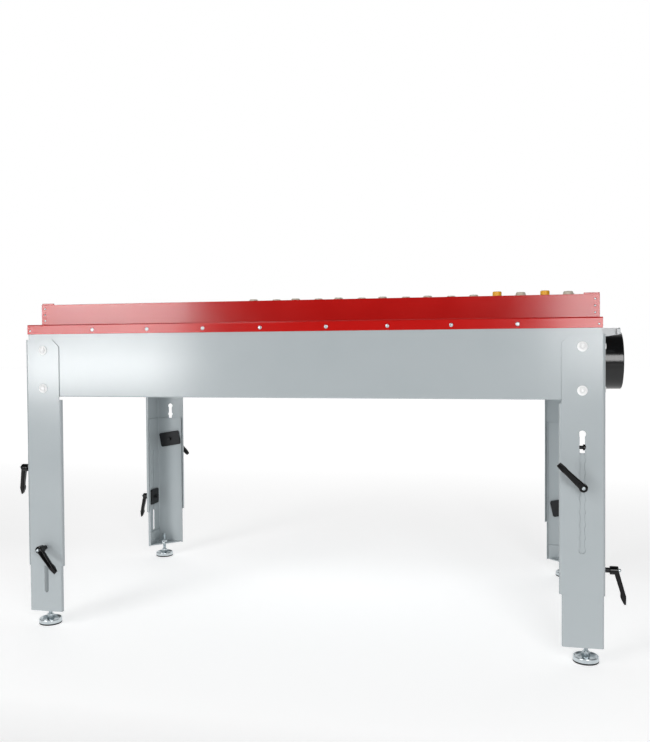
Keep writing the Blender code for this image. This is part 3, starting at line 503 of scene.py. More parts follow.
def round_slot(width, low, high):
    """Round-ended slot along the second coordinate."""
    radius = width / 2
    return arc((0, high - radius), radius, 0, 180, 12) + arc((0, low + radius), radius, 180, 360, 12)


def notched_slot():
    """Slot with round notches at a steady pitch, measured from the notch in use."""
    opening = math.degrees(math.asin(NOTCH_SLOT_WIDTH / 2 / NOTCH_RADIUS))
    right = []
    for notch in range(-NOTCHES_BELOW, NOTCHES_ABOVE + 1):
        first = -90 if notch == -NOTCHES_BELOW else opening - 90
        last = 90 if notch == NOTCHES_ABOVE else 90 - opening
        right += arc((0, notch * NOTCH_PITCH), NOTCH_RADIUS, first, last, 8)
    left = [(-x, z) for x, z in reversed(right)]
    return right + left[1:-1]


def hexagon(across_flats):
    return arc((0, 0), across_flats / math.sqrt(3), 0, 300, 5)


def face_a(height):
    """Frame on a leg's notched face: X along the face, Y up, Z out of it."""
    return Matrix.Translation((-LEG_CENTRE, 0, height)) @ Matrix.Rotation(math.pi / 2, 4, "X")


def face_b(height):
    """Frame on a leg's other face: X along the face, Y up, Z out of it."""
    turn = Matrix.Rotation(math.pi / 2, 4, "Z") @ Matrix.Rotation(math.pi / 2, 4, "X")
    return Matrix.Translation((0, LEG_CENTRE, height)) @ turn


def corner_place(corner):
    """Frame at the outer corner of a leg, turned as that leg is."""
    low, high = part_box(f"outer_leg_{corner}")
    x = high.x if "right" in corner else low.x
    y = high.y if "back" in corner else low.y
    return Matrix.Translation((x, y, 0)) @ Matrix.Rotation(math.radians(CORNER_TURN[corner]), 4, "Z")


def linear(code):
    """Turn an sRGB hex value into linear RGBA."""
    parts = [int(code[place:place + 2], 16) / 255 for place in (1, 3, 5)]
    return (*(c / 12.92 if c <= 0.04045 else ((c + 0.055) / 1.055) ** 2.4 for c in parts), 1.0)


def add_node(tree, kind, settings, links=None):
    """Add a node with its settings and with links into its inputs."""
    node = tree.nodes.new(kind)
    for key, value in settings.items():
        if isinstance(key, int) or key in node.inputs:
            node.inputs[key].default_value = value
        else:
            setattr(node, key, value)
    for key, source in (links or {}).items():
        tree.links.new(source, node.inputs[key])
    return node


def per_mm(size):
    """Texture scale whose features are about this many millimetres across."""
    return 1000 / size


def new_finish(name, **sockets):
    """Start a material: its node tree, its shader with set sockets, and Object coordinates."""
    finish = bpy.data.materials.new(name)
    finish.use_nodes = True
    tree = finish.node_tree
    shader = tree.nodes["Principled BSDF"]
    for key, value in sockets.items():
        shader.inputs[key.replace("_", " ")].default_value = value
    coordinates = add_node(tree, "ShaderNodeTexCoord", {}).outputs["Object"]
    return finish, tree, shader, coordinates


def mottled(name, size, colours, roughness, grain, relief, **sockets):
    """Finish with soft patches of colour and gloss over a fine relief; all three sizes in millimetres."""
    finish, tree, shader, coordinates = new_finish(name, **sockets)
    patches = add_node(tree, "ShaderNodeTexNoise", {"Scale": per_mm(size), "Detail": 3.0},
                       {"Vector": coordinates})
    tint = add_node(tree, "ShaderNodeMix",
                    {"data_type": "RGBA", 6: linear(colours[0]), 7: linear(colours[1])},
                    {0: patches.outputs["Fac"]})
    gloss = add_node(tree, "ShaderNodeMapRange", {"To Min": roughness[0], "To Max": roughness[1]},
                     {"Value": patches.outputs["Fac"]})
    fine = add_node(tree, "ShaderNodeTexNoise", {"Scale": per_mm(grain), "Detail": 2.0},
                    {"Vector": coordinates})
    bump = add_node(tree, "ShaderNodeBump", {"Strength": 1.0, "Distance": relief / 1000},
                    {"Height": fine.outputs["Fac"]})
    tree.links.new(tint.outputs[2], shader.inputs["Base Color"])
    tree.links.new(gloss.outputs["Result"], shader.inputs["Roughness"])
    tree.links.new(bump.outputs["Normal"], shader.inputs["Normal"])
    return finish


def galvanised_sheet():
    # Hot-dip zinc on sheet steel: dull grey with the flat crystals of the zinc, about 12 mm across.
    finish, tree, shader, coordinates = new_finish("galvanised_sheet", Metallic=1.0)
    crystals = add_node(tree, "ShaderNodeTexVoronoi", {"Scale": per_mm(12)}, {"Vector": coordinates})
    value = add_node(tree, "ShaderNodeSeparateColor", {}, {"Color": crystals.outputs["Color"]}).outputs[0]
    tint = add_node(tree, "ShaderNodeMix", {"data_type": "RGBA", 6: linear("#8E9597"), 7: linear("#B3B8BA")},
                    {0: value})
    gloss = add_node(tree, "ShaderNodeMapRange", {"To Min": 0.32, "To Max": 0.48}, {"Value": value})
    tree.links.new(tint.outputs[2], shader.inputs["Base Color"])
    tree.links.new(gloss.outputs["Result"], shader.inputs["Roughness"])
    return finish


# Polyester powder coat on steel: an even light grey with a soft glare and a faint orange peel.
GREY = mottled("grey_powder_coat", 120, ("#A9B1B4", "#B0B7BA"), (0.16, 0.22), 3.0, 0.010, IOR=1.5)
# Fine-textured red powder coat: the grains break the glare up; drawn a little coarse so that they show.
RED = mottled("red_textured_coat", 90, ("#B30D09", "#BF120D"), (0.14, 0.20), 3.2, 0.035, IOR=1.5)
GALVANISED = galvanised_sheet()
# Glass-filled nylon, moulded: deep black with a thin bright line along each round edge.
LEVER_BLACK = mottled("black_lever_nylon", 14, ("#060607", "#0B0B0C"), (0.13, 0.19), 0.8, 0.006,
                      IOR=1.53, Specular_IOR_Level=0.25)
# Steel blackened in a hot bath: nearly black, dull, with cloudy patches.
STEEL_BLACK = mottled("black_oxide_steel", 18, ("#17181A", "#242628"), (0.42, 0.56), 1.0, 0.03, Metallic=0.4)
# Black polypropylene, moulded smooth: a dark body with one soft line of light along it.
SPIGOT_BLACK = mottled("black_spigot_plastic", 60, ("#0D0E0F", "#131415"), (0.14, 0.19), 2.0, 0.008, IOR=1.49)
# Bright zinc plate with a blue chromate: a pale clouded sheen, faintly blue.
ZINC = mottled("bright_zinc", 9, ("#C0CBD1", "#D6DBDC"), (0.24, 0.36), 1.2, 0.012, Metallic=1.0)
# Zinc flake coating on the leg bolts: pale silver and dull; its near-white tone is a painted reflection of
# the bright studio, so that the heads read as light discs.
FLAKE_PAINTED_REFLECTION = mottled("zinc_flake_painted_reflection", 7, ("#F4F5F5", "#FCFCFC"), (0.34, 0.46), 0.9, 0.015, Metallic=0.1)
# Polyurethane rubber, cast: warm yellow, satin, a little uneven.
YELLOW = mottled("yellow_rubber", 11, ("#F2AA1C", "#FCC03A"), (0.42, 0.55), 0.9, 0.03, IOR=1.5)
# Firm stone-coloured moulded rubber, matt, dusty where work has rubbed it.
STUD = mottled("stud_rubber", 13, ("#C9C1AF", "#DDD6C6"), (0.55, 0.72), 0.8, 0.04, IOR=1.5)
# Black nitrile under the feet: matt, with a fine grain.
RUBBER = mottled("foot_rubber", 10, ("#060606", "#0C0C0C"), (0.62, 0.78), 0.7, 0.05, IOR=1.52)


def outer_leg():
    width, lip = LEG_WIDTH, LEG_LIP
    # Each face is drawn in two halves, so that its slot and hole are cut into their edges.
    path = [(-width, lip), (-width, 0), (-LEG_CENTRE, 0), (0, 0), (0, LEG_CENTRE), (0, width), (-lip, width)]
    leg = folded("outer_leg", [(x, y, OUTER_LEG_BOTTOM) for x, y in path],
                 (0, 0, OUTER_LEG_TOP - OUTER_LEG_BOTTOM), (-1, 0, 0), LIP_BEND, 0, LEG_BEND, 0, LIP_BEND)
    thickened(leg, LEG_SHEET)
    deep = LEG_SHEET * 2
    tools = [prism("notch_cut", notched_slot(), -deep, deep, face_a(NOTCH_LEVER_HEIGHT)),
             drill(LEVER_STUD_RADIUS + FIT, -deep, deep, face_b(SLOT_LEVER_HEIGHT))]
    # The lips stop under the trough, and the plate's upper corner is cut off.
    edge = width - LIP_BEND - LEG_CENTRE
    above = OUTER_LEG_TOP + LEG_CHAMFER
    corner = [(edge, LIP_TOP), (width, LIP_TOP), (width, above), (edge - LEG_CHAMFER, above),
              (edge - LEG_CHAMFER, OUTER_LEG_TOP), (edge, OUTER_LEG_TOP - LEG_CHAMFER)]
    for face, side in ((face_a(0), -1), (face_b(0), 1)):
        tools.append(prism("corner_cut", [(side * x, z) for x, z in corner], -LEG_LIP * 2, deep, face))
    return eased(joined(leg, tools, "DIFFERENCE"))


def inner_leg():
    near = INNER_LEG_INSET
    far = near + INNER_LEG_WIDTH
    lip = near + LEG_LIP
    path = [(-far, lip), (-far, near), (-LEG_CENTRE, near), (-near, near), (-near, LEG_CENTRE), (-near, far),
            (-lip, far)]
    leg = folded("inner_leg", [(x, y, INNER_LEG_BOTTOM) for x, y in path],
                 (0, 0, INNER_LEG_TOP - INNER_LEG_BOTTOM), (-1, 0, 0),
                 INNER_LEG_BEND, 0, INNER_LEG_BEND, 0, INNER_LEG_BEND)
    thickened(leg, LEG_SHEET)
    deep = INNER_LEG_INSET + LEG_SHEET * 2
    slot = round_slot(STRAIGHT_SLOT_WIDTH, STRAIGHT_SLOT_BOTTOM, STRAIGHT_SLOT_TOP)
    tools = [prism("slot_cut", slot, -deep, 0, face_b(0)),
             drill(LEVER_STUD_RADIUS + FIT, -deep, 0, face_a(NOTCH_LEVER_HEIGHT))]
    return eased(joined(leg, tools, "DIFFERENCE"))


def foot_bracket():
    """Angle welded into the foot of the inner leg: a plate for the spindle and an upright flange."""
    near = INNER_LEG_INSET + LEG_SHEET
    far = INNER_LEG_INSET + INNER_LEG_WIDTH - LEG_SHEET
    bottom = INNER_LEG_BOTTOM + FIT
    edge = INNER_LEG_INSET + FOOT_PLATE_WIDTH
    tip = near + FOOT_PLATE_TIP
    plate = prism("foot_bracket", [(-near, near), (-near, edge), (-tip, edge), (-edge, tip), (-edge, near)],
                  bottom, FOOT_PLATE_TOP)
    side = INNER_LEG_BEND
    flange = block("foot_flange", (-near - FOOT_FLANGE_SHEET, near + side, bottom),
                   (-near, far - side, INNER_LEG_BOTTOM + FOOT_FLANGE_HEIGHT))
    joined(plate, [flange], "UNION")
    hole = drill(SPINDLE_RADIUS + FIT, 0, FOOT_PLATE_TOP * 2, FOOT_PLACE)
    return eased(joined(plate, [hole], "DIFFERENCE"), EASE * 2)


def clamp_lever():
    """Moulded lever: a round hub and an arm that leans out to a thumb step and a blunt nose."""
    distance, outer, width, thickness = LEVER_ARM[0]
    arm = block("lever_arm", (-width / 2, -LEVER_ROOT_BACK, outer - thickness), (width / 2, distance, outer))
    rounded(arm, lambda middle, line: abs(line.y) > ALONG, thickness * LEVER_EDGE, 3)
    for before, after in zip(LEVER_ARM, LEVER_ARM[1:]):
        pick_faces(arm, lambda middle, normal, area: normal.y > 0.5 and middle.y > before[0] - MERGE)
        centre = after[1] - after[3] / 2
        shift = centre - (before[1] - before[3] / 2)
        bpy.ops.mesh.extrude_region_move(TRANSFORM_OT_translate={"value": (0, after[0] - before[0], shift)})
        bpy.ops.transform.resize(value=(after[2] / before[2], 1, after[3] / before[3]),
                                 center_override=(0, after[0], centre))
        done()
    mended(arm)
    radius, chamfer = HUB_RADIUS, HUB_CHAMFER
    hub = turned("clamp_lever", [
        (0, COLLAR_HEIGHT), (radius - chamfer / 2, COLLAR_HEIGHT), (radius, COLLAR_HEIGHT + chamfer / 2),
        (radius, HUB_TOP - chamfer), (radius - chamfer * 0.3, HUB_TOP - chamfer * 0.3),
        (radius - chamfer, HUB_TOP), (0, HUB_TOP)])
    joined(hub, [arm], "UNION")
    # A long groove lightens the outer face of the arm, up to its thumb step.
    slope = math.atan2(LEVER_ARM[4][1] - LEVER_ARM[0][1], LEVER_ARM[4][0] - LEVER_ARM[0][0])
    lie = Matrix.Translation((0, 0, LEVER_ARM[0][1])) @ Matrix.Rotation(slope, 4, "X")
    deep = LEVER_GROOVE_DEPTH
    groove = prism("lever_groove", round_slot(*LEVER_GROOVE), -deep, deep * 2, lie)
    joined(hub, [groove], "DIFFERENCE")
    return smoothed(hub)


def lever_stud():
    """Threaded stud of the lever with its collar against the leg."""
    end = -(NUT_PLATE_FACE + NUT_PLATE_THICKNESS + LEVER_STUD_PROUD)
    radius, chamfer = LEVER_STUD_RADIUS, LEVER_STUD_CHAMFER
    return smoothed(turned("lever_stud", [
        (0, end), (radius - chamfer, end), (radius, end + chamfer), (radius, FIT),
        (COLLAR_RADIUS - EASE, FIT), (COLLAR_RADIUS, FIT * 2), (COLLAR_RADIUS, COLLAR_HEIGHT + FIT),
        (0, COLLAR_HEIGHT + FIT)], sides=32))


def cross_head(name, radius, height, sides):
    """Pan-head screw with a cross recess, its underside at zero."""
    head = turned(name, [(0, 0), (radius, 0), (radius, height * 0.45), (radius * 0.93, height * 0.72),
                         (radius * 0.72, height * 0.93), (radius * 0.42, height), (0, height)], sides)
    reach, half = radius * 0.62, radius * 0.13
    bars = [block("recess", (-reach, -half, height * 0.45), (reach, half, height * 1.2)),
            block("recess", (-half, -reach, height * 0.45), (half, reach, height * 1.2))]
    return smoothed(joined(head, bars, "DIFFERENCE"))


def leg_bolt_pair():
    """Two flanged hexagon bolts, one above the other."""
    heads = []
    for index, level in enumerate(LEG_BOLT_HEIGHTS):
        head = prism(f"leg_bolts_{index}", hexagon(BOLT_HEX), FIT, BOLT_HEIGHT + FIT)
        joined(head, [turned("crown", BOLT_CROWN)], "INTERSECT")
        joined(head, [turned("flange", BOLT_FLANGE)], "UNION")
        heads.append(moved(head, Matrix.Translation((0, level, 0))))
    return eased(gathered(heads, "leg_bolts"), BOLT_EASE)


def bolt_strip():
    wall = LEG_SHEET + FIT + TROUGH_SHEET + FIT
    high, low = max(LEG_BOLT_HEIGHTS) + BOLT_STRIP_END, min(LEG_BOLT_HEIGHTS) - BOLT_STRIP_END
    strip = block("bolt_strip", (-BOLT_STRIP_WIDTH / 2, low, -wall - BOLT_STRIP_THICKNESS),
                  (BOLT_STRIP_WIDTH / 2, high, -wall))
    rounded(strip, lambda middle, line: abs(line.z) > ALONG, BOLT_STRIP_CORNER)
    return eased(strip, EASE * 2)


def spacer_pair():
    """Spacers round two leg bolts, between a leg and the end of the trough."""
    outside, bore = SPACER_RADIUS, SPACER_BORE
    near, far = -LEG_SHEET - FIT, FIT - LEG_SHEET - LEG_END_GAP
    profile = [(bore, far), (outside, far), (outside, near), (bore, near), (bore, far)]
    rings = [turned(f"spacer_{index}", profile, place=Matrix.Translation((0, level, 0)))
             for index, level in enumerate(LEG_BOLT_HEIGHTS)]
    return eased(gathered(rings, "leg_spacers"), BOLT_EASE)


def nut_plate(length, width):
    x, y = length / 2, width / 2
    back, front = -(NUT_PLATE_FACE + NUT_PLATE_THICKNESS), -NUT_PLATE_FACE
    plate = block("nut_plate", (-x, -y, back), (x, y, front))
    rounded(plate, lambda middle, line: abs(line.z) > ALONG, NUT_PLATE_CORNER, 1)
    hole = drill(LEVER_STUD_RADIUS + FIT, back * 2, 0)
    return eased(joined(plate, [hole], "DIFFERENCE"), EASE * 3)


def foot_pad():
    """Dished zinc pad with a raised rim."""
    return smoothed(turned("foot_pad", FOOT_PAD_PROFILE, FOOT_SIDES))


def foot_sole():
    """Rubber sole under the pad."""
    return smoothed(turned("foot_sole", FOOT_SOLE_PROFILE, FOOT_SIDES))


def foot_spindle():
    """Threaded rod with a hexagon at its foot; the thread is drawn as rings."""
    high = SPINDLE_LOW + SPINDLE_HEX_HEIGHT
    spindle = prism("foot_spindle", hexagon(SPINDLE_HEX), SPINDLE_LOW, high)
    corner, flat, drop = SPINDLE_HEX / math.sqrt(3), SPINDLE_HEX * SPINDLE_FLAT, HEX_CHAMFER
    ends = turned("hex_ends", [(0, SPINDLE_LOW), (flat, SPINDLE_LOW), (corner, SPINDLE_LOW + drop),
                               (corner, high - drop), (flat, high), (0, high)])
    joined(spindle, [ends], "INTERSECT")
    root = SPINDLE_RADIUS - THREAD_DEPTH
    profile = [(0, high - ROD_SUNK), (root, high - ROD_SUNK)]
    height = high + THREAD_PITCH / 2
    while height + THREAD_PITCH < SPINDLE_TOP - THREAD_END:
        profile += [(root, height), (SPINDLE_RADIUS, height + THREAD_PITCH * 0.4),
                    (SPINDLE_RADIUS, height + THREAD_PITCH * 0.6)]
        height += THREAD_PITCH
    tip = THREAD_END / 2
    profile += [(root, height), (root, SPINDLE_TOP - tip), (root - tip, SPINDLE_TOP), (0, SPINDLE_TOP)]
    return smoothed(joined(spindle, [turned("thread", profile, sides=24)], "UNION"))


def lock_nut():
    low = FOOT_PLATE_TOP + FIT
    high = low + LOCK_NUT_HEIGHT
    nut = prism("lock_nut", hexagon(LOCK_NUT_HEX), low, high)
    corner, flat, drop = LOCK_NUT_HEX / math.sqrt(3), LOCK_NUT_HEX * LOCK_NUT_FLAT, HEX_CHAMFER
    bore = SPINDLE_RADIUS + FIT
    shape = turned("nut_shape", [(bore, low), (flat, low), (corner, low + drop), (corner, high - drop),
                                 (flat, high), (bore, high), (bore, low)])
    return smoothed(joined(nut, [shape], "INTERSECT"))


def make_legs():
    masters = {"outer": outer_leg(), "inner": inner_leg(), "bracket": foot_bracket(), "lever": clamp_lever(),
               "stud": lever_stud(), "screw": cross_head("lever_screw", *LEVER_SCREW, 24),
               "bolts": leg_bolt_pair(), "strip": bolt_strip(), "spacers": spacer_pair(),
               "notch_plate": nut_plate(*NOTCH_PLATE_SIZE), "slot_plate": nut_plate(*SLOT_PLATE_SIZE),
               "pad": foot_pad(), "sole": foot_sole(), "spindle": foot_spindle(), "nut": lock_nut()}
    hub_end = Matrix.Translation((0, 0, HUB_TOP - EASE))
    for corner in CORNER_TURN:
        place = corner_place(corner)
        leg = f"leg_{corner}"

        def put(kind, name, finish, body, slot, *nodes, at=Matrix()):
            dressed(copied(masters[kind], name, place @ at), finish, body, slot, *nodes)

        put("outer", f"outer_leg_sheet_{corner}", GREY, "table", "grey_powder_coat", f"outer_leg_{corner}")
        put("inner", f"inner_leg_sheet_{corner}", GREY, leg, "grey_powder_coat", f"inner_leg_{corner}")
        put("bracket", f"foot_bracket_{corner}", GREY, leg, "grey_powder_coat")
        # The notched face lies on the end of the trough at two of the corners, the other face at the rest.
        end_side = "a" if corner in ("front_left", "back_right") else "b"
        for side, face in (("a", face_a(0)), ("b", face_b(0))):
            put("bolts", f"leg_bolt_heads_{corner}_{side}", FLAKE_PAINTED_REFLECTION, "table", "zinc_plate",
                f"leg_bolts_{corner}_{side}", at=face)
            behind = FIT - LEG_END_GAP if side == end_side else 0
            put("strip", f"bolt_strip_{corner}_{side}", ZINC, "table", "zinc_plate",
                at=face @ Matrix.Translation((0, 0, behind)))
            if side == end_side:
                put("spacers", f"leg_spacers_{corner}", ZINC, "table", "zinc_plate", at=face)
        slot_tilt = SLOT_PLATE_TILT.get(corner, 0)
        for kind, face, angle, tilt, carrier in (
                ("notch", face_a(NOTCH_LEVER_HEIGHT), NOTCH_LEVER_ANGLE[corner], NOTCH_PLATE_TILT, leg),
                ("slot", face_b(SLOT_LEVER_HEIGHT), SLOT_LEVER_ANGLE[corner], slot_tilt, "table")):
            body = f"{kind}_lever_{corner}"
            stand_off = Matrix.Translation((0, 0, LEVER_SLACK.get(body, 0)))
            swing = face @ stand_off @ Matrix.Rotation(math.radians(angle), 4, "Z")
            put("lever", f"{kind}_lever_body_{corner}", LEVER_BLACK, body, "black_lever", body, at=swing)
            put("stud", f"{kind}_lever_stud_{corner}", STEEL_BLACK, body, "black_steel", at=swing)
            put("screw", f"{kind}_lever_screw_{corner}", ZINC, body, "zinc_plate", at=swing @ hub_end)
            lean = face @ Matrix.Rotation(tilt, 4, "Z")
            put(f"{kind}_plate", f"{kind}_plate_{corner}", STEEL_BLACK, carrier, "black_steel",
                f"{kind}_nut_plate_{corner}", at=lean)
        put("pad", f"pad_dish_{corner}", ZINC, f"foot_{corner}", "zinc_plate", f"foot_pad_{corner}",
            at=FOOT_PLACE)
        put("sole", f"pad_sole_{corner}", RUBBER, f"foot_{corner}", "black_plastic", at=FOOT_PLACE)
        put("spindle", f"spindle_thread_{corner}", ZINC, f"spindle_{corner}", "zinc_plate",
            f"foot_spindle_{corner}", at=FOOT_PLACE)
        put("nut", f"lock_nut_hex_{corner}", ZINC, leg, "zinc_plate", f"lock_nut_{corner}", at=FOOT_PLACE)
    discard(*masters.values())


def make_trough():
    wall_x = HALF_LENGTH - FIT
    for name, sign in (("front", -1), ("back", 1)):
        path = [(-wall_x, sign * y, z) for y, z in ((HALF_WIDTH, TROUGH_TOP), (HALF_WIDTH, TROUGH_BOTTOM),
                                                    (HALF_WIDTH - TROUGH_FLANGE, TROUGH_BOTTOM))]
        wall = folded(f"trough_wall_{name}", path, (2 * wall_x, 0, 0), (0, sign, 0), TROUGH_BEND)
        dressed(moved(eased(thickened(wall, TROUGH_SHEET)), MIDDLE), GREY, "table", "grey_powder_coat",
                f"trough_{name}")
    end_y = HALF_WIDTH - TROUGH_SHEET - FIT
    inset = HALF_WIDTH - TROUGH_FLANGE - FIT
    for name, sign in (("left", -1), ("right", 1)):
        path = [(sign * x, -end_y, z) for x, z in ((HALF_LENGTH, TROUGH_TOP), (HALF_LENGTH, TROUGH_BOTTOM),
                                                   (HALF_LENGTH - TROUGH_FLANGE, TROUGH_BOTTOM))]
        wall = folded(f"trough_wall_{name}", path, (0, 2 * end_y, 0), (sign, 0, 0), TROUGH_BEND)
        thickened(wall, TROUGH_SHEET)
        # The flange stops beside those of the long walls.
        deep = HALF_LENGTH - TROUGH_BEND
        shallow = HALF_LENGTH - TROUGH_FLANGE * 2
        tools = [block("flange_cut", (min(sign * deep, sign * shallow), min(side * inset, side * HALF_WIDTH),
                                      TROUGH_BOTTOM - TROUGH_SHEET),
                       (max(sign * deep, sign * shallow), max(side * inset, side * HALF_WIDTH),
                        TROUGH_BOTTOM + TROUGH_SHEET * 2)) for side in (-1, 1)]
        if sign > 0:
            tools.append(drill(SPIGOT_RADIUS + FIT, -DUCT_CUT, DUCT_CUT, SPIGOT_PLACE, SPIGOT_SIDES))
        joined(wall, tools, "DIFFERENCE")
        dressed(moved(eased(wall), MIDDLE), GREY, "table", "grey_powder_coat", f"trough_{name}_end")
    floor_x, floor_low = HALF_LENGTH - TROUGH_SHEET - FIT, TROUGH_BOTTOM + TROUGH_SHEET + FIT
    floor = block("trough_base", (-floor_x, -end_y, floor_low), (floor_x, end_y, floor_low + TROUGH_SHEET))
    dressed(moved(eased(floor), MIDDLE), GREY, "table", "grey_powder_coat", "trough_floor")


def make_rim():
    inside = UPSTAND_Y - RIM_SHEET
    for name, sign in (("front", -1), ("back", 1)):
        path = [(-RIM_X, sign * y, z) for y, z in ((RIM_Y, SKIRT_BOTTOM), (RIM_Y, LEDGE_TOP),
                                                   (UPSTAND_Y, LEDGE_TOP), (UPSTAND_Y, UPSTAND_TOP))]
        rim = folded(f"rim_fold_{name}", path, (2 * RIM_X, 0, 0), (0, sign, 0), RIM_BEND, RIM_BEND)
        dressed(moved(eased(thickened(rim, RIM_SHEET), EASE * 2), MIDDLE), RED, "table", "red_powder_coat",
                f"rim_{name}")
        near, far = sorted((sign * (inside - FIT), sign * (inside - SHELF_DEPTH)))
        shelf = block(f"rim_shelf_{name}", (-HALF_LENGTH, near, LEDGE_UNDER), (HALF_LENGTH, far, LEDGE_TOP))
        dressed(moved(eased(shelf), MIDDLE), RED, "table", "red_powder_coat")
    plate_y = inside - FIT
    low, top = LEDGE_TOP + FIT, UPSTAND_TOP + TAB_RISE
    under = LEDGE_UNDER - FIT
    for name, sign in (("left", -1), ("right", 1)):
        path = [(sign * (RIM_X - CORNER_TAB), -plate_y, low), (sign * RIM_X, -plate_y, low),
                (sign * RIM_X, plate_y, low), (sign * (RIM_X - CORNER_TAB), plate_y, low)]
        plate = folded(f"rim_end_fold_{name}", path, (0, 0, top - low), (0, -1, 0), RIM_BEND, RIM_BEND)
        # The end plate runs down past the ledge and widens into the skirt.
        for level, target in ((low, under), (under, SKIRT_BOTTOM)):
            pick_edges(plate, lambda middle, line: abs(line.y) > ALONG and abs(middle.z - level) < MERGE
                       and abs(middle.x - sign * RIM_X) < MERGE and abs(middle.y) < MERGE)
            bpy.ops.mesh.extrude_edges_move(TRANSFORM_OT_translate={"value": (0, 0, target - level)})
            done()
        edge_y = plate_y - RIM_BEND
        for side in (-1, 1):
            pick_edges(plate, lambda middle, line: abs(line.z) > ALONG and middle.z < under
                       and abs(middle.y - side * edge_y) < MERGE * 10)
            shift = side * (HALF_WIDTH - edge_y)
            bpy.ops.mesh.extrude_edges_move(TRANSFORM_OT_translate={"value": (0, shift, 0)})
            done()
        edit(plate)
        bpy.ops.mesh.remove_doubles(threshold=MERGE)
        done()
        dressed(moved(eased(thickened(plate, RIM_SHEET), EASE * 2), MIDDLE), RED, "table", "red_powder_coat",
                f"rim_{name}_end")


def stud_sites(grille_x, rows):
    """Places of the support studs: two zigzag rows at the front as seen, wider spaced rows behind."""
    front = STUD_FRONT_INSET - UPSTAND_Y
    last = int((grille_x - STUD_END_MARGIN - STUD_FIRST_X) / STUD_PITCH)
    first = -int((grille_x - STUD_END_MARGIN + STUD_FIRST_X) / STUD_PITCH)
    soft, firm = [], []
    for step in range(last - FRONT_ROW_STUDS + 1, last + 1):
        even = step % 2 == 0
        y = front - STUD_STAGGER if even else front + STUD_STAGGER
        (soft if even else firm).append((STUD_FIRST_X + step * STUD_PITCH, y))
    second = front + SECOND_ROW_STEP
    for step in range(last - SECOND_ROW_STUDS + 1, last + 1):
        y = second + SECOND_ROW_STAGGER if step % 2 == 0 else second - SECOND_ROW_STAGGER
        firm.append((SECOND_ROW_FIRST_X + step * SECOND_ROW_PITCH, y))
    for row in range(2, rows):
        for step in range(first + BACK_ROW_STEP // 2 * (row % 2), last + 1, BACK_ROW_STEP):
            firm.append((STUD_FIRST_X + step * STUD_PITCH, front + row * GRILLE_ROW_PITCH))
    return soft, firm


def make_grille():
    grille_x = HALF_LENGTH - GRILLE_SIDE_GAP
    grille_y = UPSTAND_Y - RIM_SHEET - FIT - RIM_SHEET - GRILLE_SIDE_GAP
    under = GRILLE_TOP - GRILLE_SHEET
    rows = int((2 * grille_y - STUD_FRONT_INSET) / GRILLE_ROW_PITCH)
    columns = int(2 * grille_x / GRILLE_SLOT_PITCH)
    plate = block("grille_plate", (-grille_x, -grille_y, under), (grille_x, grille_y, GRILLE_TOP))
    half = GRILLE_SLOT_LENGTH / 2
    lie = Matrix.Rotation(math.pi / 2, 4, "Z")
    master = prism("grille_slot", round_slot(GRILLE_SLOT_WIDTH, -half, half), under - GRILLE_SHEET,
                   GRILLE_TOP + GRILLE_SHEET, lie)
    slots = []
    for row in range(rows):
        y = STUD_FRONT_INSET - UPSTAND_Y + (row + 0.5) * GRILLE_ROW_PITCH
        for column in range(columns):
            x = (column - (columns - 1) / 2) * GRILLE_SLOT_PITCH
            slots.append(copied(master, "grille_slot_cut", Matrix.Translation((x, y, 0))))
    discard(master)
    joined(plate, [gathered(slots, "grille_slots")], "DIFFERENCE")
    dressed(moved(eased(plate), MIDDLE), GALVANISED, "table", "galvanised_sheet", "grille")

    soft, firm = stud_sites(grille_x, rows)
    foot, neck, top = STUD_FOOT_RADIUS, STUD_TOP_RADIUS, STUD_HEIGHT
    socket, deep = STUD_SOCKET
    stud = smoothed(turned("firm_stud", [
        (0, 0), (foot, 0), (foot, STUD_FLANGE), (foot - 0.0008, STUD_FLANGE + 0.0010),
        (neck + 0.0028, top - 0.010), (neck + 0.0004, top - 0.002), (neck - 0.0004, top - 0.0006),
        (neck - 0.0016, top), (socket + 0.0006, top), (socket, top - 0.0006), (socket, top - deep),
        (0, top - deep)], sides=32))
    for index, (x, y) in enumerate(firm, start=1):
        place = MIDDLE @ Matrix.Translation((x, y, GRILLE_TOP))
        dressed(copied(stud, f"firm_stud_{index:02}", place), STUD, "table", "galvanised_sheet")
    radius = SOFT_STUD_RADIUS
    socket, deep = SOFT_STUD_SOCKET
    pad = smoothed(turned("soft_stud", [
        (0, FIT), (radius, FIT), (radius, top - 0.0022), (radius - 0.0005, top - 0.0008),
        (radius - 0.0018, top), (socket + 0.0005, top), (socket, top - 0.0005), (socket, top - deep),
        (0, top - deep)], sides=40))
    for index, (x, y) in enumerate(soft, start=1):
        place = MIDDLE @ Matrix.Translation((x, y, GRILLE_TOP))
        dressed(copied(pad, f"soft_stud_cap_{index}", place), YELLOW, "table", "yellow_rubber",
                f"soft_stud_{index}")
    discard(stud, pad)


def make_spigot():
    bore, radius, lip = SPIGOT_RADIUS - SPIGOT_WALL, SPIGOT_RADIUS, SPIGOT_LIP_RADIUS
    (back, face), end = SPIGOT_LIP, SPIGOT_LENGTH
    spigot = turned("spigot_tube", [
        (bore, back), (lip - 0.0006, back), (lip, back + 0.0006), (lip, face - 0.0004), (lip - 0.0004, face),
        (radius, face), (radius, end - 0.0022), (radius - 0.0006, end - 0.0008), (radius - 0.0015, end),
        (bore + 0.0006, end), (bore, end - 0.0008), (bore, back)], SPIGOT_SIDES, MIDDLE @ SPIGOT_PLACE)
    dressed(smoothed(spigot), SPIGOT_BLACK, "table", "black_plastic", "exhaust_spigot")


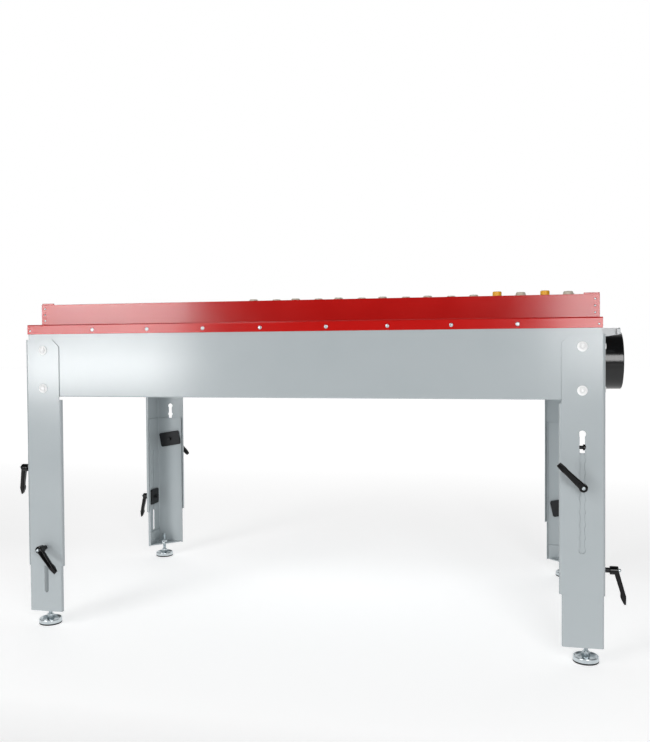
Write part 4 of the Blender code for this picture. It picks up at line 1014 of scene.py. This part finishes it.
def eased_node(node, name, width):
    """Copy of a CAD node with its triangles merged into plain faces and its edges broken."""
    only(frame["nodes"][node])
    bpy.ops.object.duplicate()
    piece = named(name)
    only(piece)
    bpy.ops.object.parent_clear(type="CLEAR")
    for key in list(piece.keys()):
        del piece[key]
    edit(piece)
    bpy.ops.mesh.remove_doubles(threshold=MERGE * 10)
    bpy.ops.mesh.dissolve_limited(angle_limit=FLAT_ANGLE)
    done()
    return eased(piece, width)


def make_small_parts():
    bracket = eased_node("end_bracket", "bracket_fold", EASE)
    dressed(bracket, GREY, "table", "grey_powder_coat", "end_bracket")
    for side in ("left", "right"):
        rail = eased_node(f"grille_rail_{side}", f"rail_channel_{side}", EASE)
        dressed(rail, GALVANISED, "table", "galvanised_sheet", f"grille_rail_{side}")
    screw = cross_head("skirt_screw", *SKIRT_SCREW, 24)
    rivet = smoothed(turned("rivet", RIVET_PROFILE, sides=20))
    upright = Matrix.Rotation(math.pi / 2, 4, "X")
    sides = {"front": 0, "right": math.pi / 2, "back": math.pi, "left": -math.pi / 2}
    for side, turn in sides.items():
        long_side = side in ("front", "back")
        reach, sites = (RIM_Y, LONG_SIDE_SCREWS) if long_side else (RIM_X, SHORT_SIDE_SCREWS)
        face = MIDDLE @ Matrix.Rotation(turn, 4, "Z") @ Matrix.Translation((0, -reach, 0))

        def put(master, name, *site):
            place = face @ Matrix.Translation(site) @ upright
            dressed(copied(master, name, place), ZINC, "table", "zinc_plate")

        for index, x in enumerate((sign * site for site in sites for sign in (-1, 1)), start=1):
            put(screw, f"skirt_screw_{side}_{index}", x, 0, SKIRT_BOTTOM + SKIRT_SCREW_RISE)
        if not long_side:
            continue
        for end, x in (("a", RIVET_END_MARGIN - RIM_X), ("b", RIM_X - RIVET_END_MARGIN)):
            put(rivet, f"skirt_rivet_{side}_{end}", x, 0, SKIRT_BOTTOM + SKIRT_RIVET_RISE)
            for index in range(CORNER_RIVETS):
                put(rivet, f"corner_rivet_{side}_{end}_{index}", x * CORNER_RIVET_SHARE, LEDGE_DEPTH,
                    LEDGE_TOP + CORNER_RIVET_RISE + CORNER_RIVET_PITCH * index)
    discard(screw, rivet)


def make_stage():
    """Pale floor with a painted glow, a white backdrop with a dim room in front of it, soft boxes and the
    camera.
    """
    deselect()
    bpy.ops.mesh.primitive_plane_add(size=FLOOR_SIZE, location=(0, 0, 0))
    floor = named("studio_floor")
    paper, tree, shader, coordinates = new_finish("white_paper_painted_glow", Roughness=0.9)
    shader.inputs["Base Color"].default_value = linear("#DCDCDC")
    shader.inputs["Emission Color"].default_value = linear("#FFFFFF")
    # Painted glow on the paper: none in front of y = -1.6 m, 0.55 from y = -0.8 m and up to 0.80 far behind,
    # so that the floor reads white and lights the table from below.
    depth = add_node(tree, "ShaderNodeSeparateXYZ", {}, {"Vector": coordinates}).outputs["Y"]
    lit = add_node(tree, "ShaderNodeMapRange", {"From Min": -1.6, "From Max": -0.8}, {"Value": depth})
    far = add_node(tree, "ShaderNodeMapRange",
                   {"From Min": 0.5, "From Max": 3.0, "To Min": 0.55, "To Max": 0.80}, {"Value": depth})
    glow = add_node(tree, "ShaderNodeMath", {"operation": "MULTIPLY"},
                    {0: lit.outputs["Result"], 1: far.outputs["Result"]})
    tree.links.new(glow.outputs["Value"], shader.inputs["Emission Strength"])
    floor.data.materials.append(paper)

    world = bpy.data.worlds.new("studio")
    bpy.context.scene.world = world
    world.use_nodes = True
    tree = world.node_tree
    direction = add_node(tree, "ShaderNodeTexCoord", {}).outputs["Generated"]
    parts = add_node(tree, "ShaderNodeSeparateXYZ", {}, {"Vector": direction})
    level = add_node(tree, "ShaderNodeMapRange",
                     {"From Min": 0.25, "From Max": 0.65, "To Min": 0.07, "To Max": 1.0,
                      "interpolation_type": "SMOOTHSTEP"}, {"Value": parts.outputs["Y"]})
    background = tree.nodes["Background"]
    tree.links.new(level.outputs["Result"], background.inputs["Strength"])
    background.inputs["Color"].default_value = (1, 1, 1, 1)

    table_x = MIDDLE.translation.x
    boxes = (   # name, place, aim, width, height, watts
        ("left_strip", (table_x - 1.90, -3.0, 0.625), (-0.45, -0.4, 0.67), 1.00, 0.24, 16),
        ("left_high_strip", (table_x - 1.90, -3.0, 1.000), (-0.45, -0.35, 0.80), 1.00, 0.20, 10),
        ("right_window", (table_x + 1.22, -3.0, 1.19), (0.60, -0.3, 0.70), 1.00, 1.22, 35),
        ("left_box", (-1.6, -2.8, 2.4), (-0.2, -0.2, 0.5), 1.4, 1.2, 23))
    for name, place, aim, width, height, watts in boxes:
        light = bpy.data.lights.new(name, "AREA")
        light.shape = "RECTANGLE"
        light.size, light.size_y, light.energy = width, height, watts
        lamp = bpy.data.objects.new(name, light)
        bpy.context.scene.collection.objects.link(lamp)
        lamp.location = place
        lamp.rotation_euler = (Vector(aim) - Vector(place)).to_track_quat("-Z", "Y").to_euler()
        lamp.visible_camera = False

    lens = bpy.data.cameras.new("photo_camera")
    lens.lens, lens.sensor_width = CAMERA_LENS, SENSOR_WIDTH
    camera = bpy.data.objects.new("photo_camera", lens)
    bpy.context.scene.collection.objects.link(camera)
    left, up, roll = (math.radians(angle) for angle in CAMERA_ANGLES)
    turn = (Matrix.Rotation(left, 4, "Z") @ Matrix.Rotation(up, 4, "X")
            @ Matrix.Rotation(roll, 4, "Y") @ Matrix.Rotation(math.pi / 2, 4, "X"))
    x, y, z = CAMERA_PLACE
    camera.matrix_world = Matrix.Translation((table_x + x, y, z)) @ turn
    bpy.context.scene.camera = camera
    bpy.context.scene.view_settings.view_transform = "Standard"


make_legs()
make_trough()
make_rim()
make_grille()
make_spigot()
make_small_parts()
make_stage()
